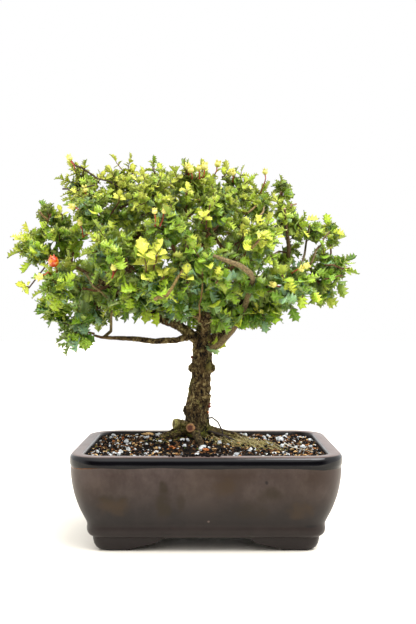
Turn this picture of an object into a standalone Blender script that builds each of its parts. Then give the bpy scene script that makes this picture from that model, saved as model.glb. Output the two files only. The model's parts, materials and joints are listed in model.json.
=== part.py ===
"""Dwarf holly bonsai in a glazed rectangular pot. Metres, +Z up, the pot's front faces -Y.

The pot stands on four corner feet at z = 0. Soil fills it, the tree's one piece of wood stands in
plain holes in the soil, and each leafy spray is plugged onto the end of a branchlet.
"""

import math
import random

import bmesh
import bpy
from mathutils import Matrix, Vector, noise
from mathutils.bvhtree import BVHTree

# Pot: a 10 x 8 inch rectangle with rounded corners, 3.5 inches high.
POT_WIDTH = 0.254
POT_DEPTH = 0.203
POT_CORNER = 0.034
CORNER_STEPS = 4
POT_SHIFT_X = 0.0245  # the crown leans to -X, so the pot stands this far to +X of the whole's middle

# Pot wall from the underside up to the lip and down the inside: height, and inset from the rim.
POT_OUTSIDE = (
    (0.0120, 0.0240),
    (0.0145, 0.0195),
    (0.0185, 0.0162),
    (0.0225, 0.0162),
    (0.0250, 0.0178),
    (0.0310, 0.0135),
    (0.0410, 0.0085),
    (0.0530, 0.0043),
    (0.0670, 0.0015),
    (0.0785, 0.0010),
    (0.0800, 0.0000),
    (0.0870, 0.0000),
    (0.0900, 0.0028),
)
POT_INSIDE = (
    (0.0900, 0.0115),
    (0.0880, 0.0138),
    (0.0520, 0.0155),
    (0.0320, 0.0215),
    (0.0205, 0.0310),
)
FOOT_PROFILE = ((0.0140, 0.0215), (0.0070, 0.0225), (0.0022, 0.0245), (0.0000, 0.0285))
FOOT_WALL = 0.013
FOOT_LENGTH = 0.033
ARCH_TOP = 0.0155
ARCH_FLARE = 0.007  # the arch between two feet is wider than the feet leave, at the ground
ARCH_DRAW = 0.010  # and narrower at its top
DRAIN_OFFSET = 0.055
DRAIN_RADIUS = 0.009
SCREEN_SIZE = 0.034
SCREEN_THICKNESS = 0.0012
SCREEN_BAR = 0.0030

# Clearances between touching pieces, and the room that a core and a leaf keep while they are placed.
GAP = 0.0003
WALL_GAP = 0.0004
ROOT_GAP = 0.00036
CORE_CLEARANCE = 0.0008
LEAF_CLEARANCE = 0.0006

# Soil: its level at the wall, and the mound that the trunk stands on.
SOIL_LEVEL = 0.0852
MOUND_HEIGHT = 0.0120
MOUND_X = 0.075
MOUND_Y = 0.060
SOIL_RINGS = 4
TRUNK_X = -0.009
STONE_COUNT = 18
STONE_SIZES = (0.0028, 0.0050)
STONE_FROM_RIM = 0.024
STONE_FROM_TRUNK = 0.030

# Tree: points of the trunk, roots and limbs as x, y, z and radius in millimetres, from the pot's centre.
MM = 0.001
TRUNK = (
    (-9, 0, 62, 12.0),
    (-9, 0, 84, 13.5),
    (-8.5, 0, 98, 14.0),
    (-8.6, 0, 105, 12.6),
    (-9.4, 0, 113, 11.8),
    (-10.0, 0, 121, 12.0),
    (-7.6, 0, 131, 11.4),
    (-6.2, 0, 145, 11.0),
    (-5.2, 0, 155, 9.4),
    (-4.2, 0, 166, 10.4),
    (-4.2, 0, 176, 10.0),
    (-4.0, 0, 187, 9.0),
    (-3.4, 1, 197, 8.0),
    (-1.0, 4, 210, 6.0),
    (3.0, 10, 228, 5.0),
    (3.0, 14, 252, 4.0),
    (-3.0, 12, 285, 3.0),
    (0.0, 6, 315, 2.2),
    (4.0, 2, 334, 1.6),
)
LIMBS = {
    "left": (
        (-6, 0, 190, 6.0),
        (-17, -2, 200, 5.2),
        (-28, -4, 207, 4.8),
        (-41, -6, 212, 4.4),
        (-55, -8, 219, 4.0),
        (-75, -8, 232, 3.3),
        (-98, -4, 246, 2.6),
        (-124, 0, 262, 1.8),
    ),
    "left_riser": (
        (-26, -3, 205, 4.4),
        (-28, 0, 222, 4.0),
        (-35, 2, 234, 3.6),
        (-36, 4, 246, 3.2),
        (-22, 7, 264, 2.8),
        (-19, 9, 290, 2.3),
        (-26, 8, 322, 1.7),
    ),
    "left_upper": (
        (-35, 2, 235, 3.2),
        (-60, 5, 242, 2.7),
        (-82, 8, 266, 2.3),
        (-96, 10, 300, 1.7),
    ),
    "low_left": (
        (-6, -2, 199, 3.8),
        (-18, -5, 196, 3.4),
        (-30, -8, 192.5, 3.2),
        (-51, -11, 191.5, 3.1),
        (-71, -13, 194, 2.8),
        (-91, -14, 200, 2.5),
        (-109, -14, 204, 2.0),
    ),
    "right_fork": (
        (-1, 0, 190, 5.4),
        (8, -3, 195, 4.4),
        (21, -6, 200, 4.0),
        (27, -7, 211, 3.7),
        (34, -8, 225, 3.5),
        (44, -8, 243, 3.3),
        (45, -6, 255, 3.0),
        (40, -2, 264, 2.7),
        (22, 4, 276, 2.0),
    ),
    "right": (
        (42, -8, 239, 3.2),
        (60, -4, 249, 2.9),
        (82, 0, 256, 2.5),
    ),
    "right_riser": (
        (80, 0, 255, 2.4),
        (83, -2, 284, 2.3),
        (78, -4, 316, 1.8),
    ),
    "back": (
        (-1, 4, 208, 5.0),
        (8, 24, 226, 4.0),
        (26, 48, 246, 3.0),
        (44, 72, 266, 1.8),
    ),
    "back_left": (
        (3, 14, 222, 3.6),
        (-24, 34, 240, 3.2),
        (-52, 56, 256, 2.5),
        (-78, 72, 272, 1.8),
    ),
    "front": (
        (-3, -3, 194, 4.4),
        (0, -22, 212, 3.6),
        (8, -46, 234, 2.8),
        (18, -72, 256, 1.8),
    ),
    "front_left": (
        (0, -20, 210, 3.2),
        (-28, -42, 230, 2.8),
        (-58, -62, 252, 1.8),
    ),
}
ROOTS = (
    ((-8, -2, 104, 5.2), (-24, -8, 101, 4.4), (-38, -14, 96, 3.0), (-54, -20, 89, 1.6)),
    ((-12, -2, 104, 5.4), (-24, -2, 104, 4.6), (-40, 4, 97, 3.0), (-60, 8, 88, 1.6)),
    ((-9, -4, 104, 5.0), (-10, -20, 100, 4.4), (-6, -36, 95, 3.0), (-2, -50, 88, 1.8)),
    ((-4, -2, 104, 4.4), (10, -10, 100, 3.4), (30, -18, 96, 2.4), (56, -24, 87, 1.4)),
    ((-4, 2, 104, 4.8), (14, 6, 100, 3.8), (34, 10, 95, 2.6), (54, 16, 87, 1.4)),
    ((-9, 4, 104, 5.0), (-4, 24, 100, 4.0), (6, 42, 94, 2.6), (14, 58, 86, 1.6)),
    ((-11, 3, 104, 5.0), (-26, 20, 100, 4.0), (-40, 34, 94, 2.6), (-52, 46, 87, 1.4)),
)
STUBS = (
    ((-12, -4, 104, 5.0), (-15.5, -19, 106.5, 4.8)),
    ((-12, -2, 107, 5.4), (-31, -6, 109, 5.0)),
)
KNOBS = (
    (-14, -3, 165, 5.6),
    (5, -2, 164, 5.2),
    (-19, -1, 122, 5.4),
    (1, -6, 136, 4.4),
    (-10, -8, 146, 4.2),
    (0, 8, 152, 5.0),
    (-8, 9, 118, 5.4),
)

# Crown: its outline seen from the front as x and z, from the pot's centre, and its half depth.
CROWN_CENTRE = Vector((-0.022, 0.000, 0.272))
CROWN_OUTLINE = (
    (0.154, 0.268),
    (0.136, 0.308),
    (0.096, 0.334),
    (0.064, 0.358),
    (0.011, 0.370),
    (-0.056, 0.376),
    (-0.106, 0.370),
    (-0.140, 0.374),
    (-0.152, 0.340),
    (-0.182, 0.308),
    (-0.199, 0.288),
    (-0.182, 0.250),
    (-0.164, 0.216),
    (-0.110, 0.214),
    (-0.050, 0.204),
    (0.010, 0.190),
    (0.062, 0.200),
    (0.104, 0.220),
    (0.134, 0.242),
)
CROWN_HALF_DEPTH = 0.116
SPRAY_DIRECTIONS = 43
LOWEST_SLOPE = -0.80  # no spray hangs under the trunk's fork
SPRAY_LIFT = 0.40
SPRAY_REACH = 0.027
CORE_RADIUS = 0.0145
CORE_DEPTH = 0.78
CORE_STANDOFF = 0.0020
TWIG_RADIUS = 0.0013
TIP_RUN = 0.007  # the straight end of every branchlet, in line with its spray
LIMB_CLOSE = 0.018
NEAREST_SPRAYS = 0.038
NAMED_SPRAYS = (
    ((-0.128, -0.014, 0.203), (-0.9, -0.3, 0.3)),
    ((-0.171, 0.000, 0.286), (-0.9, -0.2, 0.4)),
    ((0.125, 0.000, 0.266), (0.9, -0.2, 0.4)),
    ((-0.124, 0.006, 0.348), (-0.5, -0.1, 0.8)),
)

# Leaf: a spined holly blade, given for one side as angle from the tip and distance from the middle.
LEAF_LENGTH = 0.0200
LEAF_WIDTH_SHARE = 0.78
LEAF_SIDE = ((0, 1.0), (24, 0.64), (50, 0.88), (82, 0.56), (116, 0.78), (180, 1.0))
LEAF_MIDDLE = -0.25  # the thickest point, from the blade's middle towards its base
LEAF_THICKNESS = 0.0013
LEAF_CUP = 0.0011
LEAF_SINK = 0.0036
LEAF_ROLL = 42
LEAF_RINGS = ((1, 8), (3, 46), (5, 90))  # leaves in a ring, and degrees from the spray's aim
TRIES = 14

GLAZE = ("glaze", (0.095, 0.070, 0.060), 0.25)
PLASTIC = ("screen_plastic", (0.02, 0.02, 0.02), 0.6)
SOIL = ("soil_mix", (0.060, 0.045, 0.035), 0.95)
BARK = ("bark", (0.115, 0.088, 0.045), 0.9)
LEAF_GREENS = (
    ("leaf_dark", (0.045, 0.130, 0.035), 0.4),
    ("leaf_mid", (0.110, 0.240, 0.040), 0.4),
    ("leaf_young", (0.420, 0.560, 0.070), 0.45),
)
PETAL = ("petal_yellow", (0.800, 0.720, 0.180), 0.6)
FRUIT = ("fruit_red", (0.700, 0.110, 0.030), 0.3)

# Flower buds and the one fruit, on thin stalks: x and z of each as seen from the front.
BUDS = (
    (-0.047, 0.321),
    (-0.009, 0.365),
    (0.012, 0.368),
    (-0.137, 0.374),
    (-0.126, 0.310),
    (-0.093, 0.265),
    (0.100, 0.267),
    (0.052, 0.234),
)
BERRY = (-0.153, 0.289)
STALK_RADIUS = 0.0006
STALK_LENGTH = 0.0090
BUD_LENGTH = 0.0045
BERRY_RADIUS = 0.0050

SEED = 63
random.seed(SEED)

for old in list(bpy.data.objects):
    bpy.data.objects.remove(old, do_unlink=True)
bonsai = bpy.data.collections.new("dwarf_holly_bonsai")
workshop = bpy.data.collections.new("cutters_and_blanks")
for collection in (bonsai, workshop):
    bpy.context.scene.collection.children.link(collection)
stand = bpy.data.objects.new("pot_centre", None)
stand.location.x = POT_SHIFT_X
bonsai.objects.link(stand)


def material(name, colour, roughness):
    """The Principled material of that name, made on its first use."""
    made = bpy.data.materials.get(name)
    if made is None:
        made = bpy.data.materials.new(name)
        made.use_nodes = True
        shader = made.node_tree.nodes["Principled BSDF"]
        shader.inputs["Base Color"].default_value = (*colour, 1.0)
        shader.inputs["Roughness"].default_value = roughness
    return made


def blank(bm, name="blank"):
    """A workshop object from a bmesh, which is freed."""
    mesh = bpy.data.meshes.new(name)
    bm.to_mesh(mesh)
    bm.free()
    made = bpy.data.objects.new(name, mesh)
    made.hide_render = True
    made.display_type = "WIRE"
    workshop.objects.link(made)
    return made


def boolean(base, tools, operation="UNION", solver="EXACT"):
    """Joins the tools to the base, or cuts them from it, in one applied Boolean, and removes them."""
    group = bpy.data.collections.new("boolean_tools")
    bpy.context.scene.collection.children.link(group)
    for tool in tools:
        group.objects.link(tool)
    modifier = base.modifiers.new("boolean", "BOOLEAN")
    modifier.operation = operation
    modifier.operand_type = "COLLECTION"
    modifier.collection = group
    modifier.solver = solver
    evaluated = base.evaluated_get(bpy.context.evaluated_depsgraph_get())
    mesh = bpy.data.meshes.new_from_object(evaluated)
    base.modifiers.clear()
    base.data = mesh
    for tool in tools:
        bpy.data.objects.remove(tool, do_unlink=True)
    bpy.data.collections.remove(group)
    return base


def one_body(mesh):
    """Drops all but the largest connected body, so loose scraps go and sealed hollows are filled."""
    bm = bmesh.new()
    bm.from_mesh(mesh)
    left = set(bm.faces)
    bodies = []
    while left:
        body = []
        reached = [left.pop()]
        while reached:
            face = reached.pop()
            body.append(face)
            near = {other for edge in face.edges for other in edge.link_faces} & left
            left -= near
            reached.extend(near)
        bodies.append(body)
    bodies.sort(key=len)
    loose = [face for body in bodies[:-1] for face in body]
    bmesh.ops.delete(bm, geom=loose, context="FACES")
    bmesh.ops.triangulate(bm, faces=bm.faces)
    bm.to_mesh(mesh)
    bm.free()


def finish(made, name, look, sharp_degrees=None):
    """Names a finished part, gives it its material and parents it to the pot's centre."""
    one_body(made.data)
    made.name = name
    made.data.name = name
    made.data.materials.clear()
    made.data.materials.append(material(*look))
    if sharp_degrees:
        made.data.shade_smooth()
        made.data.set_sharp_from_angle(angle=math.radians(sharp_degrees))
    made.hide_render = False
    made.display_type = "TEXTURED"
    workshop.objects.unlink(made)
    bonsai.objects.link(made)
    made.parent = stand
    return made


def rounded_ring(bm, height, inset, height_of=None):
    """A ring of vertices on the pot's plan drawn in by inset, at one height or at height_of(x, y)."""
    half_x = POT_WIDTH / 2 - inset
    half_y = POT_DEPTH / 2 - inset
    radius = min(max(POT_CORNER - inset, 0.010), half_x, half_y)
    ring = []
    for corner in range(4):
        side_x = (1, -1, -1, 1)[corner]
        side_y = (1, 1, -1, -1)[corner]
        for step in range(CORNER_STEPS + 1):
            angle = math.radians(90 * (corner + step / CORNER_STEPS))
            x = side_x * (half_x - radius) + radius * math.cos(angle)
            y = side_y * (half_y - radius) + radius * math.sin(angle)
            ring.append(bm.verts.new((x, y, height_of(x, y) if height_of else height)))
    return ring


def loft(bm, rings, closed=False):
    """Quads between successive rings of equal count, and the first and last capped or bridged."""
    pairs = list(zip(rings, rings[1:] + ([rings[0]] if closed else [])))
    for lower, upper in pairs:
        for i in range(len(lower)):
            j = (i + 1) % len(lower)
            bm.faces.new((lower[i], lower[j], upper[j], upper[i]))
    if not closed:
        bm.faces.new(rings[0])
        bm.faces.new(rings[-1])
    bmesh.ops.recalc_face_normals(bm, faces=bm.faces)


def tube(points, sides=6):
    """A capped mesh tube through (x, y, z, radius) points, swept as a bevelled curve."""
    curve = bpy.data.curves.new("tube", "CURVE")
    curve.dimensions = "3D"
    curve.bevel_depth = 1.0
    curve.bevel_resolution = (sides - 4) // 2
    curve.use_fill_caps = True
    spline = curve.splines.new("POLY")
    spline.points.add(len(points) - 1)
    for point, (x, y, z, radius) in zip(spline.points, points):
        point.co = (x, y, z, 1.0)
        point.radius = radius
    swept = bpy.data.objects.new("tube", curve)
    workshop.objects.link(swept)
    evaluated = swept.evaluated_get(bpy.context.evaluated_depsgraph_get())
    mesh = bpy.data.meshes.new_from_object(evaluated)
    bpy.data.objects.remove(swept, do_unlink=True)
    bm = bmesh.new()
    bm.from_mesh(mesh)
    bmesh.ops.remove_doubles(bm, verts=bm.verts, dist=1e-6)
    bmesh.ops.recalc_face_normals(bm, faces=bm.faces)
    return blank(bm, "tube")


def metres(points, grow=0.0):
    """Millimetre points as metres, each radius grown by a clearance."""
    return [(x * MM, y * MM, z * MM, radius * MM + grow) for x, y, z, radius in points]


def pebble(centre, radius, squash, subdivisions=1):
    """A lumpy stone or burr from a jittered icosphere."""
    bm = bmesh.new()
    bmesh.ops.create_icosphere(bm, subdivisions=subdivisions, radius=radius)
    turn = Matrix.Rotation(random.uniform(0, math.tau), 3, Vector((random.random(), 1, random.random())))
    for vertex in bm.verts:
        vertex.co *= random.uniform(0.86, 1.12)
        vertex.co.z *= squash
        vertex.co = turn @ vertex.co + centre
    return blank(bm, "pebble")


def make_pot():
    """The glazed pot: bulging wall, bead, flat lip, four corner feet and two drain holes."""
    bm = bmesh.new()
    loft(bm, [rounded_ring(bm, height, inset) for height, inset in POT_OUTSIDE + POT_INSIDE])
    body = blank(bm, "pot")

    bm = bmesh.new()
    outside = [rounded_ring(bm, height, inset) for height, inset in FOOT_PROFILE]
    inner_inset = FOOT_PROFILE[-1][1] + FOOT_WALL
    inside = [rounded_ring(bm, height, inner_inset) for height in (0.0, FOOT_PROFILE[0][0])]
    loft(bm, outside + inside, closed=True)
    skirt = blank(bm, "skirt")

    arches = []
    foot_half_x = POT_WIDTH / 2 - FOOT_PROFILE[-1][1]
    foot_half_y = POT_DEPTH / 2 - FOOT_PROFILE[-1][1]
    for half, across in ((foot_half_x, (POT_WIDTH, POT_DEPTH)), (foot_half_y, (POT_DEPTH, POT_WIDTH))):
        bm = bmesh.new()
        bmesh.ops.create_cube(bm, size=1.0)
        opening = half - FOOT_LENGTH
        for vertex in bm.verts:
            spread = opening + (ARCH_FLARE if vertex.co.z < 0 else -ARCH_DRAW)
            vertex.co.x = math.copysign(spread, vertex.co.x)
            vertex.co.y *= across[1] * 1.1
            vertex.co.z = ARCH_TOP if vertex.co.z > 0 else -0.002
        if across[0] == POT_DEPTH:
            bmesh.ops.rotate(bm, verts=bm.verts, matrix=Matrix.Rotation(math.pi / 2, 3, "Z"))
        arches.append(blank(bm, "arch"))
    boolean(skirt, arches, "DIFFERENCE")
    boolean(body, [skirt])

    drains = []
    for side in (-1, 1):
        bm = bmesh.new()
        place = Matrix.Translation((side * DRAIN_OFFSET, 0, POT_OUTSIDE[0][0]))
        bmesh.ops.create_cone(bm, cap_ends=True, segments=16, radius1=DRAIN_RADIUS,
                              radius2=DRAIN_RADIUS, depth=2 * POT_OUTSIDE[0][0], matrix=place)
        drains.append(blank(bm, "drain"))
    boolean(body, drains, "DIFFERENCE")
    return finish(body, "pot", GLAZE, 30)


def screen_blank(side, grow):
    """A square plate over one drain hole, grown on every side by a clearance."""
    bm = bmesh.new()
    floor = POT_INSIDE[-1][0]
    size = SCREEN_SIZE + 2 * grow
    top = floor + GAP + SCREEN_THICKNESS + grow
    bottom = floor + GAP - grow
    bmesh.ops.create_cube(bm, size=1.0)
    for vertex in bm.verts:
        vertex.co.x = vertex.co.x * size + side * DRAIN_OFFSET
        vertex.co.y *= size
        vertex.co.z = top if vertex.co.z > 0 else bottom
    return blank(bm, "screen")


def make_screen(side, name):
    """A plastic screen over a drain hole, a plate with four square openings."""
    plate = screen_blank(side, 0.0)
    hole = (SCREEN_SIZE - 3 * SCREEN_BAR) / 2
    cutters = []
    for step_x in (-1, 1):
        for step_y in (-1, 1):
            bm = bmesh.new()
            bmesh.ops.create_cube(bm, size=hole)
            shift = (hole + SCREEN_BAR) / 2
            centre = (side * DRAIN_OFFSET + step_x * shift, step_y * shift, POT_INSIDE[-1][0])
            bmesh.ops.translate(bm, verts=bm.verts, vec=centre)
            cutters.append(blank(bm, "mesh_opening"))
    boolean(plate, cutters, "DIFFERENCE")
    return finish(plate, name, PLASTIC)


def soil_height(x, y):
    """The mound under the trunk, and the ground's unevenness, which dies away at the wall."""
    mound = MOUND_HEIGHT * math.exp(-(((x - TRUNK_X) / MOUND_X) ** 2) - (y / MOUND_Y) ** 2)
    return SOIL_LEVEL + mound + 0.0014 * noise.noise(Vector((x, y, 0.3)) * 70)


def make_soil(roots):
    """The soil that fills the pot, mounded to the trunk, with stones standing out of its top."""
    bm = bmesh.new()
    floor_height = POT_INSIDE[-1][0] + GAP
    wall = [(max(height, floor_height), inset + WALL_GAP) for height, inset in POT_INSIDE[:1:-1]]
    rings = [rounded_ring(bm, height, inset) for height, inset in wall]
    wall_inset = POT_INSIDE[1][1] + WALL_GAP
    rings.append(rounded_ring(bm, SOIL_LEVEL - 0.0015, wall_inset))
    reach = POT_DEPTH / 2 - wall_inset
    for step in range(1, SOIL_RINGS):
        inset = wall_inset + reach * (step / SOIL_RINGS) ** 0.9
        rings.append(rounded_ring(bm, 0.0, inset, soil_height))
    loft(bm, rings)
    soil = blank(bm, "soil")

    stones = []
    while len(stones) < STONE_COUNT:
        x = random.uniform(-1, 1) * (POT_WIDTH / 2 - STONE_FROM_RIM)
        y = random.uniform(-1, 1) * (POT_DEPTH / 2 - STONE_FROM_RIM)
        if math.hypot(x - TRUNK_X, y) > STONE_FROM_TRUNK:
            radius = random.uniform(*STONE_SIZES)
            centre = Vector((x, y, soil_height(x, y) + radius * 0.15))
            stones.append(pebble(centre, radius, 0.8))
    boolean(soil, stones)
    pockets = [screen_blank(side, GAP) for side in (-1, 1)]
    boolean(soil, roots + pockets, "DIFFERENCE")
    return finish(soil, "soil", SOIL)


def underground(grow):
    """The trunk's foot, the roots and the cut root stubs, grown by a clearance."""
    foot = metres(TRUNK[:6], grow)
    foot[0] = (foot[0][0], foot[0][1], foot[0][2] - grow, foot[0][3])
    pieces = [tube(foot, 10)]
    for root in ROOTS:
        pieces.append(tube(metres(root, grow), 6))
    for stub in STUBS:
        pieces.append(tube(metres(stub, grow), 8))
    return pieces


class Skeleton:
    """The centre lines of the wood, on which each new branchlet finds where to grow from."""

    def __init__(self):
        self.points = []

    def add(self, route):
        for start, end in zip(route, route[1:]):
            for part in (0.0, 0.5):
                self.points.append(Vector(start[:3]).lerp(Vector(end[:3]), part))
        self.points.append(Vector(route[-1][:3]))

    def branchlet(self, tip, aim):
        """A route from the nearest wood that lies behind the tip, ending in the direction aim."""
        def cost(point):
            away = tip - point
            return away.length * (1.0 + 0.6 * (1.0 - away.normalized().dot(aim)))

        lowest = TRUNK[11][2] * MM
        base = min((p for p in self.points if p.z > lowest and (tip - p).length > 0.008), key=cost)
        length = (tip - base).length
        thick = TWIG_RADIUS + min(0.0012, length * 0.016)
        bend = tip - aim * min(max(length * 0.45, TIP_RUN), 0.020)
        route = [(*base, thick), (*bend, TWIG_RADIUS * 1.15), (*tip, TWIG_RADIUS)]
        self.add(route)
        return route


def crown_reach(direction):
    """How far the crown's outside lies from its centre in a direction."""
    flat = math.hypot(direction.x, direction.z)
    angle = math.atan2(direction.z, direction.x) % math.tau
    outline = sorted(
        (math.atan2(z - CROWN_CENTRE.z, x - CROWN_CENTRE.x) % math.tau,
         math.hypot(z - CROWN_CENTRE.z, x - CROWN_CENTRE.x))
        for x, z in CROWN_OUTLINE
    )
    outline.append((outline[0][0] + math.tau, outline[0][1]))
    if angle < outline[0][0]:
        angle += math.tau
    for (low, near), (high, far) in zip(outline, outline[1:]):
        if low <= angle <= high:
            seen = near + (far - near) * (angle - low) / (high - low)
            break
    return 1.0 / math.sqrt((flat / seen) ** 2 + (direction.y / CROWN_HALF_DEPTH) ** 2)


def spray_places():
    """Core centre, aim and twig end of each spray: the named ones, then an even spread."""
    back = CORE_RADIUS * 1.15 + CORE_STANDOFF
    named = [(Vector(centre), Vector(aim).normalized()) for centre, aim in NAMED_SPRAYS]
    places = [(centre, aim, centre - aim * back) for centre, aim in named]
    golden = math.pi * (3 - math.sqrt(5))
    for i in range(SPRAY_DIRECTIONS):
        up = 1 - 2 * (i + 0.5) / SPRAY_DIRECTIONS
        flat = math.sqrt(1 - up * up)
        direction = Vector((flat * math.cos(golden * i), flat * math.sin(golden * i), up))
        centre = CROWN_CENTRE + direction * (crown_reach(direction) - SPRAY_REACH)
        is_apart = all((centre - place[0]).length > NEAREST_SPRAYS for place in places)
        if up > LOWEST_SLOPE and is_apart:
            aim = (direction + Vector((0, 0, SPRAY_LIFT))).normalized()
            places.append((centre, aim, centre - aim * back))
    return places


def frame_of(axis, face):
    """A rotation whose X runs along axis and whose Z looks along face."""
    x = axis.normalized()
    z = (face - x * face.dot(x)).normalized()
    return Matrix((x, z.cross(x), z)).transposed()


def leaf_bmesh(root, axis, face, length, margin=0.0):
    """A cupped holly blade with its base at root: a low double fan round its middle."""
    bm = bmesh.new()
    spokes = 2 * (len(LEAF_SIDE) - 1)
    bmesh.ops.create_uvsphere(bm, u_segments=spokes, v_segments=2, radius=1.0)
    turn = frame_of(axis, face)
    half = length / 2
    for vertex in bm.verts:
        if abs(vertex.co.z) > 0.5:
            lift = LEAF_THICKNESS / 2 + margin
            local = Vector((LEAF_MIDDLE * half, 0, math.copysign(lift, vertex.co.z)))
        else:
            step = round(math.atan2(vertex.co.y, vertex.co.x) / math.tau * spokes)
            degrees, distance = LEAF_SIDE[abs(step)]
            angle = math.copysign(math.radians(degrees), step)
            spine = 1.0 if abs(step) % 2 == 0 else 0.45
            local = Vector((
                math.cos(angle) * distance * (half + margin),
                math.sin(angle) * distance * (half + margin) * LEAF_WIDTH_SHARE,
                LEAF_CUP * spine,
            ))
        vertex.co = root + turn @ (local + Vector((half, 0, 0)))
    return bm


def mesh_bmesh(mesh):
    """A bmesh of a mesh."""
    bm = bmesh.new()
    bm.from_mesh(mesh)
    return bm


def clear_of(bm, trees):
    """Whether a bmesh's surface crosses none of the trees."""
    own = BVHTree.FromBMesh(bm)
    return not any(tree.overlap(own) for tree in trees)


def make_core(centre, aim, radius, standing):
    """A small lumpy core, drawn in until it is clear of what stands near it."""
    for share in (1.0, 0.85, 0.7, 0.55):
        made = []
        for margin in (CORE_CLEARANCE, 0.0):
            bm = bmesh.new()
            bmesh.ops.create_icosphere(bm, subdivisions=1, radius=1.0)
            for vertex in bm.verts:
                lump = 1.0 + 0.22 * noise.noise(vertex.co * 1.7 + centre * 90)
                offset = vertex.co * (radius * share * lump + margin)
                vertex.co = centre + offset - aim * offset.dot(aim) * (1 - CORE_DEPTH)
            made.append(bm)
        probe, core = made
        is_clear = clear_of(probe, standing)
        probe.free()
        if is_clear:
            return core, radius * share
        core.free()
    return None, 0.0


def make_twig(tip, aim, standing):
    """The stub of twig under a spray, or none where it would cross what stands there."""
    start = tip + aim * GAP
    end = start + aim * CORE_RADIUS
    twig = tube([(*start, TWIG_RADIUS), (*end, TWIG_RADIUS)], 4)
    probe = mesh_bmesh(twig.data)
    is_clear = clear_of(probe, standing)
    probe.free()
    if is_clear:
        return twig
    bpy.data.objects.remove(twig, do_unlink=True)
    return None


def holds_spray(centre, aim, tip, standing):
    """Whether a spray's core and twig stand clear at this place."""
    core, _ = make_core(centre, aim, CORE_RADIUS, standing)
    twig = make_twig(tip, aim, standing)
    is_held = bool(core and twig)
    if core:
        core.free()
    if twig:
        bpy.data.objects.remove(twig, do_unlink=True)
    return is_held


def make_spray(name, centre, aim, tip, look, standing):
    """One leafy spray: a twig that meets its branchlet, a core, and rings of leaves out of it."""
    core, size = make_core(centre, aim, CORE_RADIUS, standing)
    pieces = [make_twig(tip, aim, standing)]
    taken = list(standing)
    side = aim.orthogonal().normalized()
    for count, degrees in LEAF_RINGS:
        tilt = math.radians(degrees)
        first = random.uniform(0, math.tau)
        for i in range(count):
            spread = Matrix.Rotation(first + math.tau * i / count, 3, aim) @ side
            out = aim * math.cos(tilt) + spread * math.sin(tilt)
            depth = 1 - (1 - CORE_DEPTH) * math.cos(tilt) ** 2
            root = centre + out * (size * depth - LEAF_SINK)
            upright = aim * math.sin(tilt) - spread * math.cos(tilt) + Vector((0, 0, 0.3))
            roll = math.radians(random.uniform(-LEAF_ROLL, LEAF_ROLL))
            face = Matrix.Rotation(roll, 3, out) @ upright
            length = LEAF_LENGTH * random.uniform(0.84, 1.12)
            for attempt in range(TRIES):
                jitter = Vector([random.uniform(-1, 1) for _ in range(3)]) * (0.12 + 0.08 * attempt)
                axis = (out + jitter).normalized()
                probe = leaf_bmesh(root, axis, face, length, LEAF_CLEARANCE)
                is_clear = clear_of(probe, taken)
                probe.free()
                if is_clear:
                    bm = leaf_bmesh(root, axis, face, length)
                    taken.append(BVHTree.FromBMesh(bm))
                    pieces.append(blank(bm, "leaf"))
                    break
    spray = boolean(blank(core, "core"), pieces, solver="MANIFOLD")
    return finish(spray, name, look)


def make_stalked(name, x, z, sprays, standing, is_berry):
    """A bud or the fruit on a stalk that stands 0.3 mm off the core of the nearest spray in front."""
    wanted = Vector((x, -0.060, z))
    centre, tree = min(sprays, key=lambda spray: (spray[0] - wanted).length)
    for attempt in range(60):
        towards = (wanted - centre).normalized() + Vector((0, -0.3, 0.3))
        towards += Vector([random.uniform(-1, 1) for _ in range(3)]) * 0.05 * attempt
        towards.normalize()
        seat, normal, _, _ = tree.ray_cast(centre + towards * 0.08, -towards)
        if seat is None or (seat - centre).length > CORE_RADIUS * 1.2:
            continue
        base = seat + normal * GAP
        knee = base + normal * STALK_LENGTH * 0.3
        lean = (normal + Vector((0, -0.2, 0.5))).normalized()
        top = knee + lean * STALK_LENGTH * 0.7
        stalk = tube([(*point, STALK_RADIUS) for point in (base, knee, top)], 4)
        head = bmesh.new()
        if is_berry:
            bmesh.ops.create_icosphere(head, subdivisions=2, radius=BERRY_RADIUS)
            seat_of_head = top + lean * BERRY_RADIUS * 0.85
        else:
            bmesh.ops.create_cone(head, cap_ends=True, cap_tris=True, segments=5,
                                  radius1=BUD_LENGTH * 0.2, radius2=BUD_LENGTH * 0.5, depth=BUD_LENGTH)
            bmesh.ops.rotate(head, verts=head.verts, matrix=frame_of(lean.orthogonal(), lean))
            seat_of_head = top + lean * BUD_LENGTH * 0.3
        bmesh.ops.translate(head, verts=head.verts, vec=seat_of_head)
        if clear_of(head, standing) and clear_of(mesh_bmesh(stalk.data), standing):
            made = boolean(blank(head, "head"), [stalk], solver="MANIFOLD")
            return finish(made, name, FRUIT if is_berry else PETAL)
        head.free()
        bpy.data.objects.remove(stalk, do_unlink=True)
    return None


def close_limb(route, free):
    """Carries a limb on to the nearest free (tip, aim), which is returned with the route."""
    end = Vector(route[-1][:3])
    along = (end - Vector(route[-2][:3])).normalized()
    tip, aim = min(free, key=lambda t: (t[0] - end).length * (1.5 - (t[0] - end).normalized().dot(along)))
    bend = tip - aim * TIP_RUN
    while (Vector(route[-1][:3]) - bend).length < LIMB_CLOSE:
        route.pop()
    return route + [(*bend, TWIG_RADIUS * 1.15), (*tip, TWIG_RADIUS)], (tip, aim)


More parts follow.
